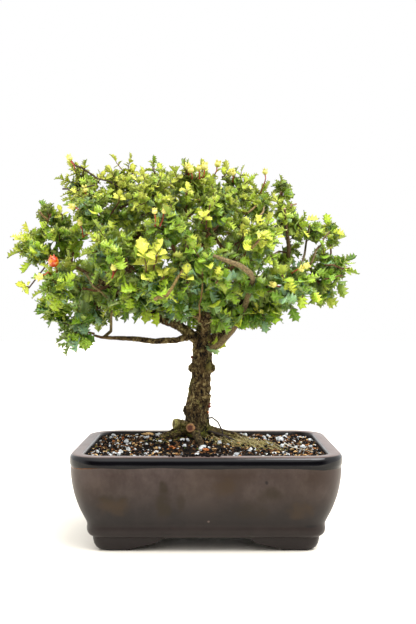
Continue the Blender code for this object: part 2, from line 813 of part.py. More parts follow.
def grow_wood(places):
    """Trunk, roots, stubs, limbs and a branchlet to every place, in one piece of wood."""
    free = [(tip, aim) for _, aim, tip in places]
    skeleton = Skeleton()
    skeleton.add(metres(TRUNK[11:]))
    pieces = underground(0.0)[1:]
    for limb in LIMBS.values():
        route, (tip, aim) = close_limb(metres(limb), free)
        free.remove((tip, aim))
        skeleton.add(route)
        pieces.append(tube(route, 6))
    for tip, aim in free:
        pieces.append(tube(skeleton.branchlet(tip, aim), 4))
    random.seed(SEED)
    pieces += [pebble(Vector(knob[:3]) * MM, knob[3] * MM, 1.0) for knob in KNOBS]
    return boolean(tube(metres(TRUNK), 10), pieces, solver="MANIFOLD")


make_pot()
make_screen(-1, "drain_screen_left")
make_screen(1, "drain_screen_right")
make_soil(underground(ROOT_GAP))

# Places where the wood leaves no room for a spray are given up, and the wood is grown again.
places = spray_places()
held = []
while len(held) < len(places):
    places = held or places
    wood = grow_wood(places)
    standing = [BVHTree.FromBMesh(mesh_bmesh(wood.data))]
    held = [place for place in places if holds_spray(*place, standing)]
    if len(held) < len(places):
        bpy.data.objects.remove(wood, do_unlink=True)
finish(wood, "wood", BARK, 50)

sprays = []
for number, (centre, aim, tip) in enumerate(places, start=1):
    look = LEAF_GREENS[(number * 7) % len(LEAF_GREENS)]
    spray = make_spray(f"spray_{number:02d}", centre, aim, tip, look, standing)
    standing.append(BVHTree.FromBMesh(mesh_bmesh(spray.data)))
    sprays.append((centre, standing[-1]))

for number, (x, z) in enumerate((BERRY,) + BUDS):
    name = f"flower_bud_{number}" if number else "berry"
    stalked = make_stalked(name, x, z, sprays, standing, number == 0)
    if stalked:
        standing.append(BVHTree.FromBMesh(mesh_bmesh(stalked.data)))
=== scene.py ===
"""Dwarf holly bonsai in a glazed rectangular pot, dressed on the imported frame. Metres, +Z up."""

import json
import math
import random

import bmesh
import bpy
from bmesh.types import BMEdge, BMFace, BMVert
from mathutils import Matrix, Vector, noise
from mathutils.bvhtree import BVHTree


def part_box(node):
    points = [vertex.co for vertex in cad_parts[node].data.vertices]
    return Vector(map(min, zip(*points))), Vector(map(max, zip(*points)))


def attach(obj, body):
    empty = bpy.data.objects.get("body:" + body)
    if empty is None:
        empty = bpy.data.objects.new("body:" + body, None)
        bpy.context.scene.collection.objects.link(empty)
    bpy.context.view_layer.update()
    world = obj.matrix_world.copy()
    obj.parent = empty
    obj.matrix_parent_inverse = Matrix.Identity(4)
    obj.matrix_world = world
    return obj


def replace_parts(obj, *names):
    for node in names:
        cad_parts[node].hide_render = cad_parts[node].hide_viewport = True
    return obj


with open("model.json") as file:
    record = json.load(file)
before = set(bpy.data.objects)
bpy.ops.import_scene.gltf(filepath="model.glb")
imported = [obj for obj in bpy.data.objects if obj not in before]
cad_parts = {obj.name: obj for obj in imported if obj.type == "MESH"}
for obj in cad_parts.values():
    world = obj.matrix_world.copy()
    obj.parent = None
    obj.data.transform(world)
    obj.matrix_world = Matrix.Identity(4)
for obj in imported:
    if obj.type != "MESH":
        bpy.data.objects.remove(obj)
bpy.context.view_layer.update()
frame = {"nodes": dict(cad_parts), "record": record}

# Studio: the tree is seen level, from 956 mm in front of the pot's middle, through a 55 mm lens. It
# stands on a pale floor in soft white light. Behind the camera the room is dimmer, and the floor ends
# 310 mm before the pot's middle, so that the glaze mirrors something dark.
CAMERA_PLACE = (0.0263, -0.9556, 0.2205)
CAMERA_LENS = 55
FLOOR_SIZE = 12.0
FLOOR_FRONT = 0.31
SUN_FROM = Vector((0.45, -0.40, 1.0))
SUN_STRENGTH = 3.6
SUN_SPREAD = 40
ROOM_GLOW = 1.7
FRONT_SHADE = 1.58
SHADE_TURN = (0.15, 0.75)
SHADE_RISE = (0.14, 0.46)


def colour(red, green, blue):
    """A colour given as screen values from 0 to 255, as the renderer's linear one."""
    return tuple((part / 255) ** 2.2 for part in (red, green, blue)) + (1.0,)


def palette(*shades):
    """Several such colours."""
    return [colour(*shade) for shade in shades]


class Wire:
    """A value on its way through a node tree. Sums on it add Math nodes."""

    def __init__(self, nodes, socket):
        self.nodes = nodes
        self.socket = socket

    def sum(self, operation, first, second=0.0):
        """One Math node, on one value or two."""
        return self.nodes.add("ShaderNodeMath", {"operation": operation}, {0: first, 1: second})

    def __add__(self, other):
        return self.sum("ADD", self, other)

    def __sub__(self, other):
        return self.sum("SUBTRACT", self, other)

    def __rsub__(self, other):
        return self.sum("SUBTRACT", other, self)

    def __mul__(self, other):
        return self.sum("MULTIPLY", self, other)

    __radd__ = __add__
    __rmul__ = __mul__

    def __abs__(self):
        return self.sum("ABSOLUTE", self)

    def at_least(self, least):
        return self.sum("MAXIMUM", self, least)

    def between(self, low, high):
        """0 below low, 1 above high, and smooth in between."""
        limits = {"Value": self, "From Min": low, "From Max": high}
        return self.nodes.add("ShaderNodeMapRange", {"interpolation_type": "SMOOTHSTEP"}, limits)


class Nodes:
    """A node tree, with one way to add any node: its type, its settings and its sockets."""

    def __init__(self, tree):
        self.tree = tree

    def add(self, kind, settings, sockets, output=0):
        """Adds a node, and gives the value that leaves it."""
        node = self.tree.nodes.new(kind)
        for name, value in settings.items():
            if name == "stops":
                ramp = node.color_ramp.elements
                while len(ramp) < len(value):
                    ramp.new(0.5)
                for stop, (place, shade) in zip(ramp, value):
                    stop.position = place
                    stop.color = shade
            else:
                setattr(node, name, value)
        for name, value in sockets.items():
            if isinstance(value, Wire):
                self.tree.links.new(value.socket, node.inputs[name])
            else:
                node.inputs[name].default_value = value
        return Wire(self, node.outputs[output])

    def mix(self, factor, first, second):
        """The colour that goes from first to second."""
        return self.add("ShaderNodeMix", {"data_type": "RGBA"}, {0: factor, 6: first, 7: second}, 2)

    def place(self, scale=(1, 1, 1)):
        """Object coordinates, stretched."""
        where = self.add("ShaderNodeTexCoord", {}, {}, "Object")
        return self.add("ShaderNodeMapping", {}, {"Vector": where, "Scale": scale})

    def noise(self, scale, detail=3.0, stretch=(1, 1, 1), roughness=0.5):
        """A cloudy pattern, with scale blotches to the metre."""
        sockets = {"Vector": self.place(stretch), "Scale": scale, "Detail": detail, "Roughness": roughness}
        return self.add("ShaderNodeTexNoise", {}, sockets)

    def part_of(self, vector, axis):
        """One of a vector's three numbers."""
        return self.add("ShaderNodeSeparateXYZ", {}, {0: vector}, axis)

    def attribute(self, name, output="Fac"):
        """What the mesh's own vertices hold under a name."""
        return self.add("ShaderNodeAttribute", {"attribute_name": name}, {}, output)


class Finish(Nodes):
    """A Principled material: what is the same all over is set here, and the rest is driven."""

    def __init__(self, name, **fixed):
        self.material = bpy.data.materials.new(name)
        self.material.use_nodes = True
        super().__init__(self.material.node_tree)
        self.shader = self.tree.nodes["Principled BSDF"]
        for socket, value in fixed.items():
            self.shader.inputs[socket.replace("_", " ")].default_value = value

    def drive(self, socket, wire):
        """Links a value to the shader."""
        self.tree.links.new(wire.socket, self.shader.inputs[socket])

    def blend(self, factor, first, second):
        """Makes the finish's colour go from first to second."""
        self.drive("Base Color", self.mix(factor, first, second))

    def bump(self, height, distance, strength=1.0):
        """Raises the surface by a height."""
        sockets = {"Height": height, "Distance": distance, "Strength": strength}
        self.drive("Normal", self.add("ShaderNodeBump", {}, sockets))


def as_mesh(bm, name):
    """A mesh from a finished bmesh."""
    mesh = bpy.data.meshes.new(name)
    bm.to_mesh(mesh)
    bm.free()
    return mesh


scene = bpy.context.scene
camera = bpy.data.objects.new("camera", bpy.data.cameras.new("camera"))
camera.data.lens = CAMERA_LENS
camera.location = CAMERA_PLACE
camera.rotation_euler = (math.radians(90), 0, 0)
scene.collection.objects.link(camera)
scene.camera = camera
scene.view_settings.view_transform = "Standard"

world = bpy.data.worlds.new("studio")
world.use_nodes = True
scene.world = world
room = Nodes(world.node_tree)
facing = room.add("ShaderNodeTexCoord", {}, {}, "Generated")
in_front = (room.part_of(facing, 1) * -1).between(*SHADE_TURN)
level = room.part_of(facing, 2)
low_down = 1 - abs(level).between(*SHADE_RISE)
seen = room.add("ShaderNodeLightPath", {}, {}, "Is Camera Ray")
glow = (ROOM_GLOW - in_front * low_down * FRONT_SHADE) * (1 - seen) + seen
backdrop = world.node_tree.nodes["Background"]
backdrop.inputs["Color"].default_value = colour(255, 255, 255)
world.node_tree.links.new(glow.socket, backdrop.inputs["Strength"])

sun = bpy.data.objects.new("soft_sun", bpy.data.lights.new("soft_sun", "SUN"))
sun.data.energy = SUN_STRENGTH
sun.data.angle = math.radians(SUN_SPREAD)
sun.rotation_euler = SUN_FROM.to_track_quat("Z", "Y").to_euler()
scene.collection.objects.link(sun)

bm = bmesh.new()
bmesh.ops.create_grid(bm, x_segments=1, y_segments=1, size=FLOOR_SIZE / 2)
for vertex in bm.verts:
    vertex.co.y = max(vertex.co.y, -FLOOR_FRONT)
floor = bpy.data.objects.new("floor", as_mesh(bm, "floor"))
pale = Finish("pale_floor", Roughness=0.5)
pale.blend(pale.noise(3.0), *palette((246, 238, 222), (248, 242, 230)))
floor.data.materials.append(pale.material)
scene.collection.objects.link(floor)

# Pot: one fired piece of stoneware, pressed in a mould, with a rolled lip, a bead above the base and
# four corner feet. Its glaze is a mottled brown that has run to near black along the lip, a black that
# is partly a painted dark reflection. The body is painted darker towards the foot as painted shade,
# and the top of the lip paler as a painted highlight.
POT_X = 0.0245
POT_WIDTH = 0.254
POT_DEPTH = 0.203
POT_CORNER = 0.034
LEAST_CORNER = 0.010
CORNER_POINTS = 15
POT_OUTSIDE = (
    (0.0120, 0.0240), (0.0132, 0.0206), (0.0145, 0.0184), (0.0165, 0.0168), (0.0190, 0.0161),
    (0.0212, 0.0160), (0.0232, 0.0163), (0.0250, 0.0163), (0.0272, 0.0155), (0.0310, 0.0134),
    (0.0360, 0.0108), (0.0410, 0.0085), (0.0470, 0.0062), (0.0530, 0.0043), (0.0600, 0.0027),
    (0.0670, 0.0016), (0.0740, 0.0011), (0.0785, 0.0010), (0.0796, 0.0006), (0.0810, 0.0001),
    (0.0840, 0.0000), (0.0868, 0.0002), (0.0886, 0.0010), (0.0896, 0.0022), (0.0900, 0.0036),
)
POT_INSIDE = (
    (0.0900, 0.0108), (0.0896, 0.0122), (0.0886, 0.0132), (0.0870, 0.0138), (0.0520, 0.0155),
    (0.0320, 0.0215), (0.0205, 0.0310),
)
FOOT_PROFILE = (
    (0.0145, 0.0214), (0.0100, 0.0218), (0.0060, 0.0228), (0.0030, 0.0244), (0.0010, 0.0264),
    (0.0000, 0.0290),
)
FOOT_WALL_INSET = 0.0415
FOOT_LENGTH = 0.026
ARCH = (
    (-0.0010, 1.00), (0.0010, 0.98), (0.0030, 0.91), (0.0045, 0.83), (0.0060, 0.74), (0.0077, 0.66),
    (0.0095, 0.61), (0.0115, 0.57), (0.0126, 0.52), (0.0129, 0.46),
)
ARCH_THROUGH = 0.3
DRAIN_OFFSET = 0.055
DRAIN_RADIUS = 0.009
DRAIN_MIDDLE = 0.016
DRAIN_THROUGH = 0.03
POT_SHARP = 44
LIP_FOOT = 0.0797
LIP_EDGE = 0.0004
LIP_WET = (0.0815, 0.0850)
LIP_CREST = (0.0890, 0.0898)
AMBER_HIGH = 0.0016
INSIDE_FROM = (0.0800, 0.0810)
INSIDE_WALL = (POT_CORNER - 0.0138, POT_CORNER - 0.0118)
FRONT_FACE = (0.070, 0.075)
POT_ENDS = (0.088, 0.120)
PAINTED_SHADE_DOWN = (0.008, 0.078)
BELT_FOOT = (0.022, 0.028)
BELT_TOP = (0.034, 0.060)
GLAZE_DARK = colour(9, 7, 12)
GLAZE_BROWN = colour(80, 69, 65)
GLAZE_SHADE = colour(57, 47, 44)
# The next colour is painted shade, which darkens the body towards the foot.
GLAZE_LOW_SHADE = colour(28, 22, 22)
# The next colour is a painted highlight: the top of the lip is painted paler, for the white room it
# mirrors.
GLAZE_TOP_HIGHLIGHT = colour(100, 84, 79)
GLAZE_INNER = colour(20, 11, 9)
GLAZE_AMBER = colour(150, 92, 30)
GLAZE_STAIN = colour(40, 31, 19)
GLAZE_RUST = colour(56, 42, 26)
MARKS = (
    (-0.0387, 0.0470, 0.0070, 0.0140, 0.90, GLAZE_STAIN),
    (-0.0392, 0.0590, 0.0040, 0.0080, 0.80, GLAZE_STAIN),
    (-0.0840, 0.0520, 0.0120, 0.0050, 0.85, GLAZE_STAIN),
    (-0.0850, 0.0450, 0.0160, 0.0080, 0.75, GLAZE_RUST),
    (0.0545, 0.0673, 0.0017, 0.0017, 1.00, GLAZE_DARK),
    (0.0570, 0.0570, 0.0090, 0.0070, 0.75, GLAZE_STAIN),
    (0.0860, 0.0430, 0.0110, 0.0080, 0.80, GLAZE_RUST),
    (0.0130, 0.0640, 0.0100, 0.0090, 0.60, GLAZE_RUST),
    (-0.0230, 0.0490, 0.0040, 0.0090, 0.55, GLAZE_STAIN),
    (0.0420, 0.0420, 0.0160, 0.0070, 0.45, GLAZE_STAIN),
    (0.0966, 0.0252, 0.0050, 0.0013, 1.00, GLAZE_DARK),
    (0.0025, 0.0297, 0.0011, 0.0010, 0.80, GLAZE_TOP_HIGHLIGHT),
)


def new_piece(bm, name, finishes, sharp=None):
    """A piece of the tree or pot from a bmesh: it gets its finishes and rides on the root."""
    mesh = as_mesh(bm, name)
    piece = bpy.data.objects.new(name, mesh)
    scene.collection.objects.link(piece)
    for finish in finishes:
        mesh.materials.append(finish.material)
    mesh.shade_smooth()
    if sharp:
        mesh.set_sharp_from_angle(angle=math.radians(sharp))
    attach(piece, "root")
    return piece


def pot_level(ring, turn, height, inset):
    """Draws a ring of vertices out to the pot's rounded rectangle at one level."""
    radius = max(POT_CORNER - inset, LEAST_CORNER)
    reach_x = POT_WIDTH / 2 - inset - radius
    reach_y = POT_DEPTH / 2 - inset - radius
    for vertex in ring:
        corner, step = divmod(vertex[turn], CORNER_POINTS)
        angle = math.radians(90 * (corner + step / (CORNER_POINTS - 1)))
        vertex.co.x = POT_X + (1, -1, -1, 1)[corner] * reach_x + radius * math.cos(angle)
        vertex.co.y = (1, 1, -1, -1)[corner] * reach_y + radius * math.sin(angle)
        vertex.co.z = height


def only(parts, kind):
    """The vertices, edges or faces among the parts that an operator made."""
    return [part for part in parts if isinstance(part, kind)]


def edges_of(ring):
    """The edges at a ring of vertices, each once."""
    return list(dict.fromkeys(edge for vertex in ring for edge in vertex.link_edges))


def pot_wall(bm, levels):
    """The wall through a list of (height, inset) levels, and the edges of its two ends."""
    turn = bm.verts.layers.int.new("turn")
    ring = bmesh.ops.create_circle(bm, segments=4 * CORNER_POINTS, radius=1.0)["verts"]
    for index, vertex in enumerate(ring):
        vertex[turn] = index
    pot_level(ring, turn, *levels[0])
    first = edges = bm.edges[:]
    for level in levels[1:]:
        drawn = bmesh.ops.extrude_edge_only(bm, edges=edges)["geom"]
        pot_level(only(drawn, BMVert), turn, *level)
        edges = only(drawn, BMEdge)
    return first, edges


def bake_shape(piece):
    """Makes a piece's modifiers part of its mesh."""
    shaped = bpy.data.meshes.new_from_object(piece.evaluated_get(bpy.context.evaluated_depsgraph_get()))
    piece.modifiers.clear()
    piece.data = shaped


def worked(piece, tools, operation):
    """Joins the tools to the piece or cuts them from it, and removes them."""
    for tool in tools:
        change = piece.modifiers.new("work", "BOOLEAN")
        change.operation = operation
        change.object = tool
    bake_shape(piece)
    for tool in tools:
        bpy.data.objects.remove(tool, do_unlink=True)


def tool(bm):
    """A shape that joins or cuts another, from a bmesh."""
    bmesh.ops.recalc_face_normals(bm, faces=bm.faces)
    made = bpy.data.objects.new("tool", as_mesh(bm, "tool"))
    scene.collection.objects.link(made)
    return made


def foot_arch(half_width, is_side):
    """The opening between two feet: an ogee that rises from each foot, right through the pot."""
    bm = bmesh.new()
    levels = []
    for height, share in ARCH:
        level = bmesh.ops.create_grid(bm, x_segments=1, y_segments=1, size=0.5)["verts"]
        for vertex in level:
            vertex.co.x *= 2 * half_width * share
            vertex.co.y *= ARCH_THROUGH
            vertex.co.z = height
        bmesh.ops.delete(bm, geom=level[0].link_faces[:], context="FACES_ONLY")
        levels.append(edges_of(level))
    for lower, upper in zip(levels, levels[1:]):
        bmesh.ops.bridge_loops(bm, edges=lower + upper)
    bmesh.ops.edgeloop_fill(bm, edges=levels[0])
    bmesh.ops.edgeloop_fill(bm, edges=levels[-1])
    if is_side:
        bmesh.ops.rotate(bm, verts=bm.verts, matrix=Matrix.Rotation(math.pi / 2, 3, "Z"))
    bmesh.ops.translate(bm, verts=bm.verts, vec=(POT_X, 0, 0))
    return tool(bm)


def glaze_finish():
    """Mottled brown with marks, painted shade towards the foot, a black lip band partly of painted
    reflection, and a painted highlight on its top.
    """
    glaze = Finish("glaze", Specular_IOR_Level=0.20, Coat_Roughness=0.06)
    where = glaze.place()
    side = glaze.part_of(where, 0) - POT_X
    deep = glaze.part_of(where, 1)
    height = glaze.part_of(where, 2)
    cloud = glaze.noise(30.0, 6.0, (1, 1, 0.7), 0.62)
    haze = glaze.noise(12.0, 3.0)
    fleck = (glaze.noise(85.0, 5.0) - 0.5) * 4.5
    wave = (glaze.noise(26.0, 3.0) - 0.5) * 0.0045
    front = (deep * -1).between(*FRONT_FACE)
    corner = abs(side).between(*POT_ENDS)
    level = height + wave + corner * 0.0020
    lip = level.between(LIP_FOOT - LIP_EDGE, LIP_FOOT + LIP_EDGE)
    # Painted highlight: the top of the lip is painted paler, for the white room that it mirrors.
    highlit_crest = height.between(*LIP_CREST)
    beyond_x = (abs(side) - (POT_WIDTH / 2 - POT_CORNER)).at_least(0.0)
    beyond_y = (abs(deep) - (POT_DEPTH / 2 - POT_CORNER)).at_least(0.0)
    from_corner = beyond_x * beyond_x + beyond_y * beyond_y
    from_corner = from_corner.sum("SQRT", from_corner)
    inner = (1 - from_corner.between(*INSIDE_WALL)) * height.between(*INSIDE_FROM)
    ground = glaze.mix(cloud.between(0.36, 0.68), GLAZE_SHADE, GLAZE_BROWN)
    ground = glaze.mix(haze.between(0.45, 0.70) * 0.35, ground, GLAZE_RUST)
    # Painted shade: the body is painted darker towards the foot.
    ground = glaze.mix((1 - height.between(*PAINTED_SHADE_DOWN)) * 0.94, ground, GLAZE_LOW_SHADE)
    belt = height.between(*BELT_FOOT) * (1 - height.between(*BELT_TOP))
    ground = glaze.mix(belt * 0.45, ground, GLAZE_DARK)
    for x, z, wide, high, strength, shade in MARKS:
        across = (side - x + (cloud - 0.5) * wide * 1.6) * (1 / wide)
        up = (height - z + (haze - 0.5) * high * 1.6) * (1 / high)
        spot = 1 - (across * across + up * up + fleck).between(-0.40, 1.90)
        ground = glaze.mix(spot * front * strength, ground, shade)
    amber = lip * (1 - level.between(LIP_FOOT, LIP_FOOT + AMBER_HIGH)) * corner * cloud.between(0.42, 0.62)
    # The lip is near black: partly the glaze's own dark band, partly a painted dark reflection of the room.
    banded = glaze.mix(highlit_crest * 0.85, glaze.mix(lip, ground, GLAZE_DARK), GLAZE_TOP_HIGHLIGHT)
    glaze.blend(amber * 0.5, glaze.mix(inner, banded, GLAZE_INNER), GLAZE_AMBER)
    band = lip * (1 - highlit_crest) * (1 - inner)
    glaze.drive("Roughness", 0.40 - band * 0.30 + (cloud - 0.5) * 0.14)
    glaze.drive("Coat Weight", 0.04 + band * level.between(*LIP_WET) * (1 - corner) * 0.50)
    peel = glaze.noise(240.0, 2.0) * 0.2 + glaze.noise(42.0, 2.0)
    glaze.bump(peel + lip * 0.25, 0.0010, 0.30)
    return glaze


bm = bmesh.new()
for end in pot_wall(bm, POT_OUTSIDE + POT_INSIDE):
    bmesh.ops.edgeloop_fill(bm, edges=end)
bmesh.ops.recalc_face_normals(bm, faces=bm.faces)
glaze = glaze_finish()
pot = new_piece(bm, "glazed_pot", [glaze])
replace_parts(pot, "pot")

bm = bmesh.new()
foot_top = FOOT_PROFILE[0]
pot_wall(bm, FOOT_PROFILE + ((0.0, FOOT_WALL_INSET), (foot_top[0], FOOT_WALL_INSET), foot_top))
bmesh.ops.remove_doubles(bm, verts=bm.verts, dist=1e-6)
feet = tool(bm)
front_half = POT_WIDTH / 2 - FOOT_PROFILE[-1][1] - FOOT_LENGTH
side_half = POT_DEPTH / 2 - FOOT_PROFILE[-1][1] - FOOT_LENGTH
worked(feet, [foot_arch(front_half, False), foot_arch(side_half, True)], "DIFFERENCE")
worked(pot, [feet], "UNION")
drains = []
for side in (-1, 1):
    bm = bmesh.new()
    middle = Matrix.Translation((POT_X + side * DRAIN_OFFSET, 0, DRAIN_MIDDLE))
    bmesh.ops.create_cone(bm, cap_ends=True, segments=40, radius1=DRAIN_RADIUS, radius2=DRAIN_RADIUS,
                          depth=DRAIN_THROUGH, matrix=middle)
    drains.append(tool(bm))
worked(pot, drains, "DIFFERENCE")
pot.data.shade_smooth()
pot.data.set_sharp_from_angle(angle=math.radians(POT_SHARP))

# Drain screens: flat black plastic mesh over each hole, so that the soil stays in. They keep their
# solids, and get the plastic's fine grain.
plastic = Finish("screen_plastic", Roughness=0.6)
plastic.blend(plastic.noise(400.0), *palette((16, 16, 17), (34, 34, 36)))
plastic.bump(plastic.noise(1500.0), 0.0002)
for name in ("drain_screen_left", "drain_screen_right"):
    screen = frame["nodes"][name]
    screen.data.materials.clear()
    screen.data.materials.append(plastic.material)

# Soil: a dark open mix that fills the pot and is mounded to the trunk, with a top dressing of grit:
# white perlite, black and brown lava, tan and orange chips of clay and bark, and a few green bits.
SOIL_LEVEL = 0.0852
SOIL_FLOOR = 0.0208
SOIL_INSET = 0.0142
SOIL_FOOT_INSET = 0.0318
MOUND = (0.0120, 0.075, 0.060)
TRUNK_X = POT_X - 0.009
SOIL_CELLS = (90, 72)
SOIL_SHADES = palette((8, 6, 5), (36, 27, 20))
GRIT = (
    ("perlite", 220, (0.0011, 0.0026), (1.0, 0.85, 0.8), 2, (164, 169, 174), (238, 240, 238)),
    ("crumbs_white", 560, (0.0004, 0.0011), (1.0, 0.9, 0.8), 1, (150, 152, 150), (228, 228, 222)),
    ("lava_black", 1900, (0.0008, 0.0022), (1.0, 0.85, 0.75), 1, (7, 6, 6), (38, 34, 33)),
    ("lava_brown", 1400, (0.0007, 0.0020), (1.0, 0.8, 0.7), 1, (52, 36, 24), (126, 92, 62)),
    ("chips_orange", 160, (0.0006, 0.0016), (1.5, 0.8, 0.6), 1, (130, 68, 36), (200, 128, 76)),
    ("chips_tan", 470, (0.0006, 0.0021), (1.7, 0.8, 0.5), 1, (160, 120, 74), (226, 190, 136)),
    ("bark_bits", 90, (0.0012, 0.0030), (1.7, 0.9, 0.35), 1, (84, 54, 34), (150, 104, 66)),
    ("bits_green", 60, (0.0006, 0.0013), (1.6, 0.7, 0.5), 1, (60, 96, 30), (130, 160, 50)),
)
FINE_MOST = 1.8
GRIT_SHARP = 50
PALE_GRIT = ("perlite", "crumbs_white")
PALE_FROM = 0.015
PALE_FULL = 0.060
PLACED_GRIT = (
    ("chips_tan", -0.0620, 0.0780, 0.0050),
    ("chips_tan", -0.0197, 0.0213, 0.0042),
    ("chips_orange", 0.0000, -0.0600, 0.0028),
    ("chips_orange", -0.0330, -0.0480, 0.0022),
    ("chips_orange", -0.0300, -0.0500, 0.0018),
    ("chips_orange", -0.0360, -0.0510, 0.0017),
    ("perlite", -0.0030, -0.0500, 0.0030),
    ("perlite", 0.0749, 0.0113, 0.0042),
    ("perlite", -0.0480, 0.0100, 0.0030),
    ("perlite", 0.0950, -0.0200, 0.0030),
)
RIM_CRUMBS = 44
RIM_CRUMBS_X = (-0.004, 0.010)
RIM_CRUMBS_Y = (-0.0970, -0.0880)


def soil_height(x, y):
    """The mound under the trunk and the ground's unevenness."""
    high, wide, deep = MOUND
    mound = high * math.exp(-(((x - TRUNK_X) / wide) ** 2) - (y / deep) ** 2)
    rough = 0.0014 * noise.noise(Vector((x - POT_X, y, 0.3)) * 70)
    rough += 0.0005 * noise.noise(Vector((x, y, 0)) * 260)
    return SOIL_LEVEL + mound + rough


def inside_pot(x, y, inset):
    """The nearest point that lies inside the pot's wall at an inset."""
    radius = POT_CORNER - inset
    reach_x = POT_WIDTH / 2 - inset - radius
    reach_y = POT_DEPTH / 2 - inset - radius
    over = Vector((max(abs(x - POT_X) - reach_x, 0), max(abs(y) - reach_y, 0)))
    if over.length > radius:
        over = over.normalized() * radius
        x = POT_X + math.copysign(reach_x + over.x, x - POT_X) if over.x else x
        y = math.copysign(reach_y + over.y, y) if over.y else y
    return x, y


def ground_finish(name, dark, light, scale):
    """Matt earth or stone, mottled between two colours."""
    ground = Finish(name, Roughness=0.92, Specular_IOR_Level=0.12)
    ground.blend(ground.noise(scale, 5.0).between(0.35, 0.7), dark, light)
    ground.bump(ground.noise(scale * 3, 6.0), 0.0012)
    return ground


random.seed(11)
bm = bmesh.new()
bmesh.ops.create_grid(bm, x_segments=SOIL_CELLS[0], y_segments=SOIL_CELLS[1], size=0.5)
for vertex in bm.verts:
    x, y = inside_pot(POT_X + vertex.co.x * POT_WIDTH, vertex.co.y * POT_DEPTH, SOIL_INSET)
    vertex.co = (x, y, soil_height(x, y))
bmesh.ops.remove_doubles(bm, verts=bm.verts, dist=0.00005)
rim = [edge for edge in bm.edges if edge.is_boundary]
lowered = bmesh.ops.extrude_edge_only(bm, edges=rim)["geom"]
for vertex in only(lowered, BMVert):
    vertex.co = (*inside_pot(vertex.co.x, vertex.co.y, SOIL_FOOT_INSET), SOIL_FLOOR)
bmesh.ops.contextual_create(bm, geom=only(lowered, BMEdge))
bmesh.ops.recalc_face_normals(bm, faces=bm.faces)
ground = ground_finish("soil_ground", *SOIL_SHADES, 320.0)
soil = new_piece(bm, "soil_mix", [ground])
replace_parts(soil, "soil")


def grain_shapes(shape, rounds):
    """Four lumpy grains of one kind, as meshes."""
    made = []
    for lot in range(4):
        bm = bmesh.new()
        bmesh.ops.create_icosphere(bm, subdivisions=rounds, radius=1.0)
        for vertex in bm.verts:
            vertex.co *= 1.0 + 0.55 * noise.noise(vertex.co * 1.4 + Vector((lot * 7.0, 0, 0)))
            vertex.co *= Vector(shape)
        made.append(as_mesh(bm, "grain"))
    return made


def put_in(bm, shape, place):
    """Adds a mesh to a bmesh at a place, and gives its vertices there."""
    first = len(bm.verts)
    bm.from_mesh(shape)
    bm.verts.ensure_lookup_table()
    for vertex in bm.verts[first:]:
        vertex.co = place @ vertex.co
    return bm.verts[first:]


def drop_grain(bm, shape, x, y, size, top=soil_height):
    """Lays one grain on the soil, or on another top, sunk a little and turned at random."""
    angle = random.uniform(0, math.tau)
    turn = Matrix.Rotation(angle, 4, Vector((random.random() - 0.5, random.random() - 0.5, 2)))
    place = Matrix.Translation((x, y, top(x, y) + size * random.uniform(0.1, 0.6)))
    return put_in(bm, shape, place @ turn @ Matrix.Scale(size, 4))


def rim_top(x, y):
    """The level of the pot's rim, where some crumbs lie."""
    return POT_OUTSIDE[-1][0]


for kind, count, sizes, shape, rounds, dark, light in GRIT:
    bm = bmesh.new()
    lumps = grain_shapes(shape, rounds)
    placed = 0
    while placed < count:
        x = POT_X + random.uniform(-0.5, 0.5) * POT_WIDTH
        y = random.uniform(-0.5, 0.5) * POT_DEPTH
        from_trunk = math.hypot(x - TRUNK_X, y)
        if (x, y) != inside_pot(x, y, SOIL_INSET + sizes[1]):
            continue
        if kind in PALE_GRIT and random.random() > (from_trunk - PALE_FROM) / PALE_FULL:
            continue
        size = sizes[0] + (sizes[1] - sizes[0]) * random.random() ** FINE_MOST
        drop_grain(bm, lumps[placed % len(lumps)], x, y, size)
        placed += 1
    for name, x, y, size in PLACED_GRIT:
        if name == kind:
            drop_grain(bm, lumps[0], POT_X + x, y, size)
    if kind == "lava_black":
        for _ in range(RIM_CRUMBS):
            x = POT_X + random.gauss(*RIM_CRUMBS_X)
            lump = random.choice(lumps)
            y = random.uniform(*RIM_CRUMBS_Y)
            drop_grain(bm, lump, x, y, random.uniform(*sizes), rim_top)
    grit = ground_finish(kind, *palette(dark, light), 500.0)
    new_piece(bm, kind, [grit], GRIT_SHARP)

# Wood: surface roots, trunk and limbs, one grown piece. The bark is old and knobbly on the trunk,
# dark in its furrows and pale on its ridges, partly its own colour and partly painted shade and
# highlight, with olive growth on it, and smooth and red-brown on the youngest twigs.
VOXEL = 0.0009
EASE_ROUNDS = 3
GIRTH_REACH = 0.03
GIRTH_FULL = 0.02
FURROW_SHARE = 0.16
FURROW_MOST = 0.0021
BARK_PROUD = 0.00025
# The furrows' dark below is partly painted shade, and the ridges' pale partly a painted highlight.
BARK_FURROW_AND_SHADE = colour(20, 15, 9)
BARK_BROWN = colour(90, 71, 44)
BARK_CREST_AND_HIGHLIGHT = colour(178, 160, 106)
BARK_YOUNG = colour(142, 104, 68)
BARK_TWIG = colour(72, 50, 34)
BARK_FOOT_DARK = colour(34, 27, 15)
MOSS = colour(100, 104, 38)


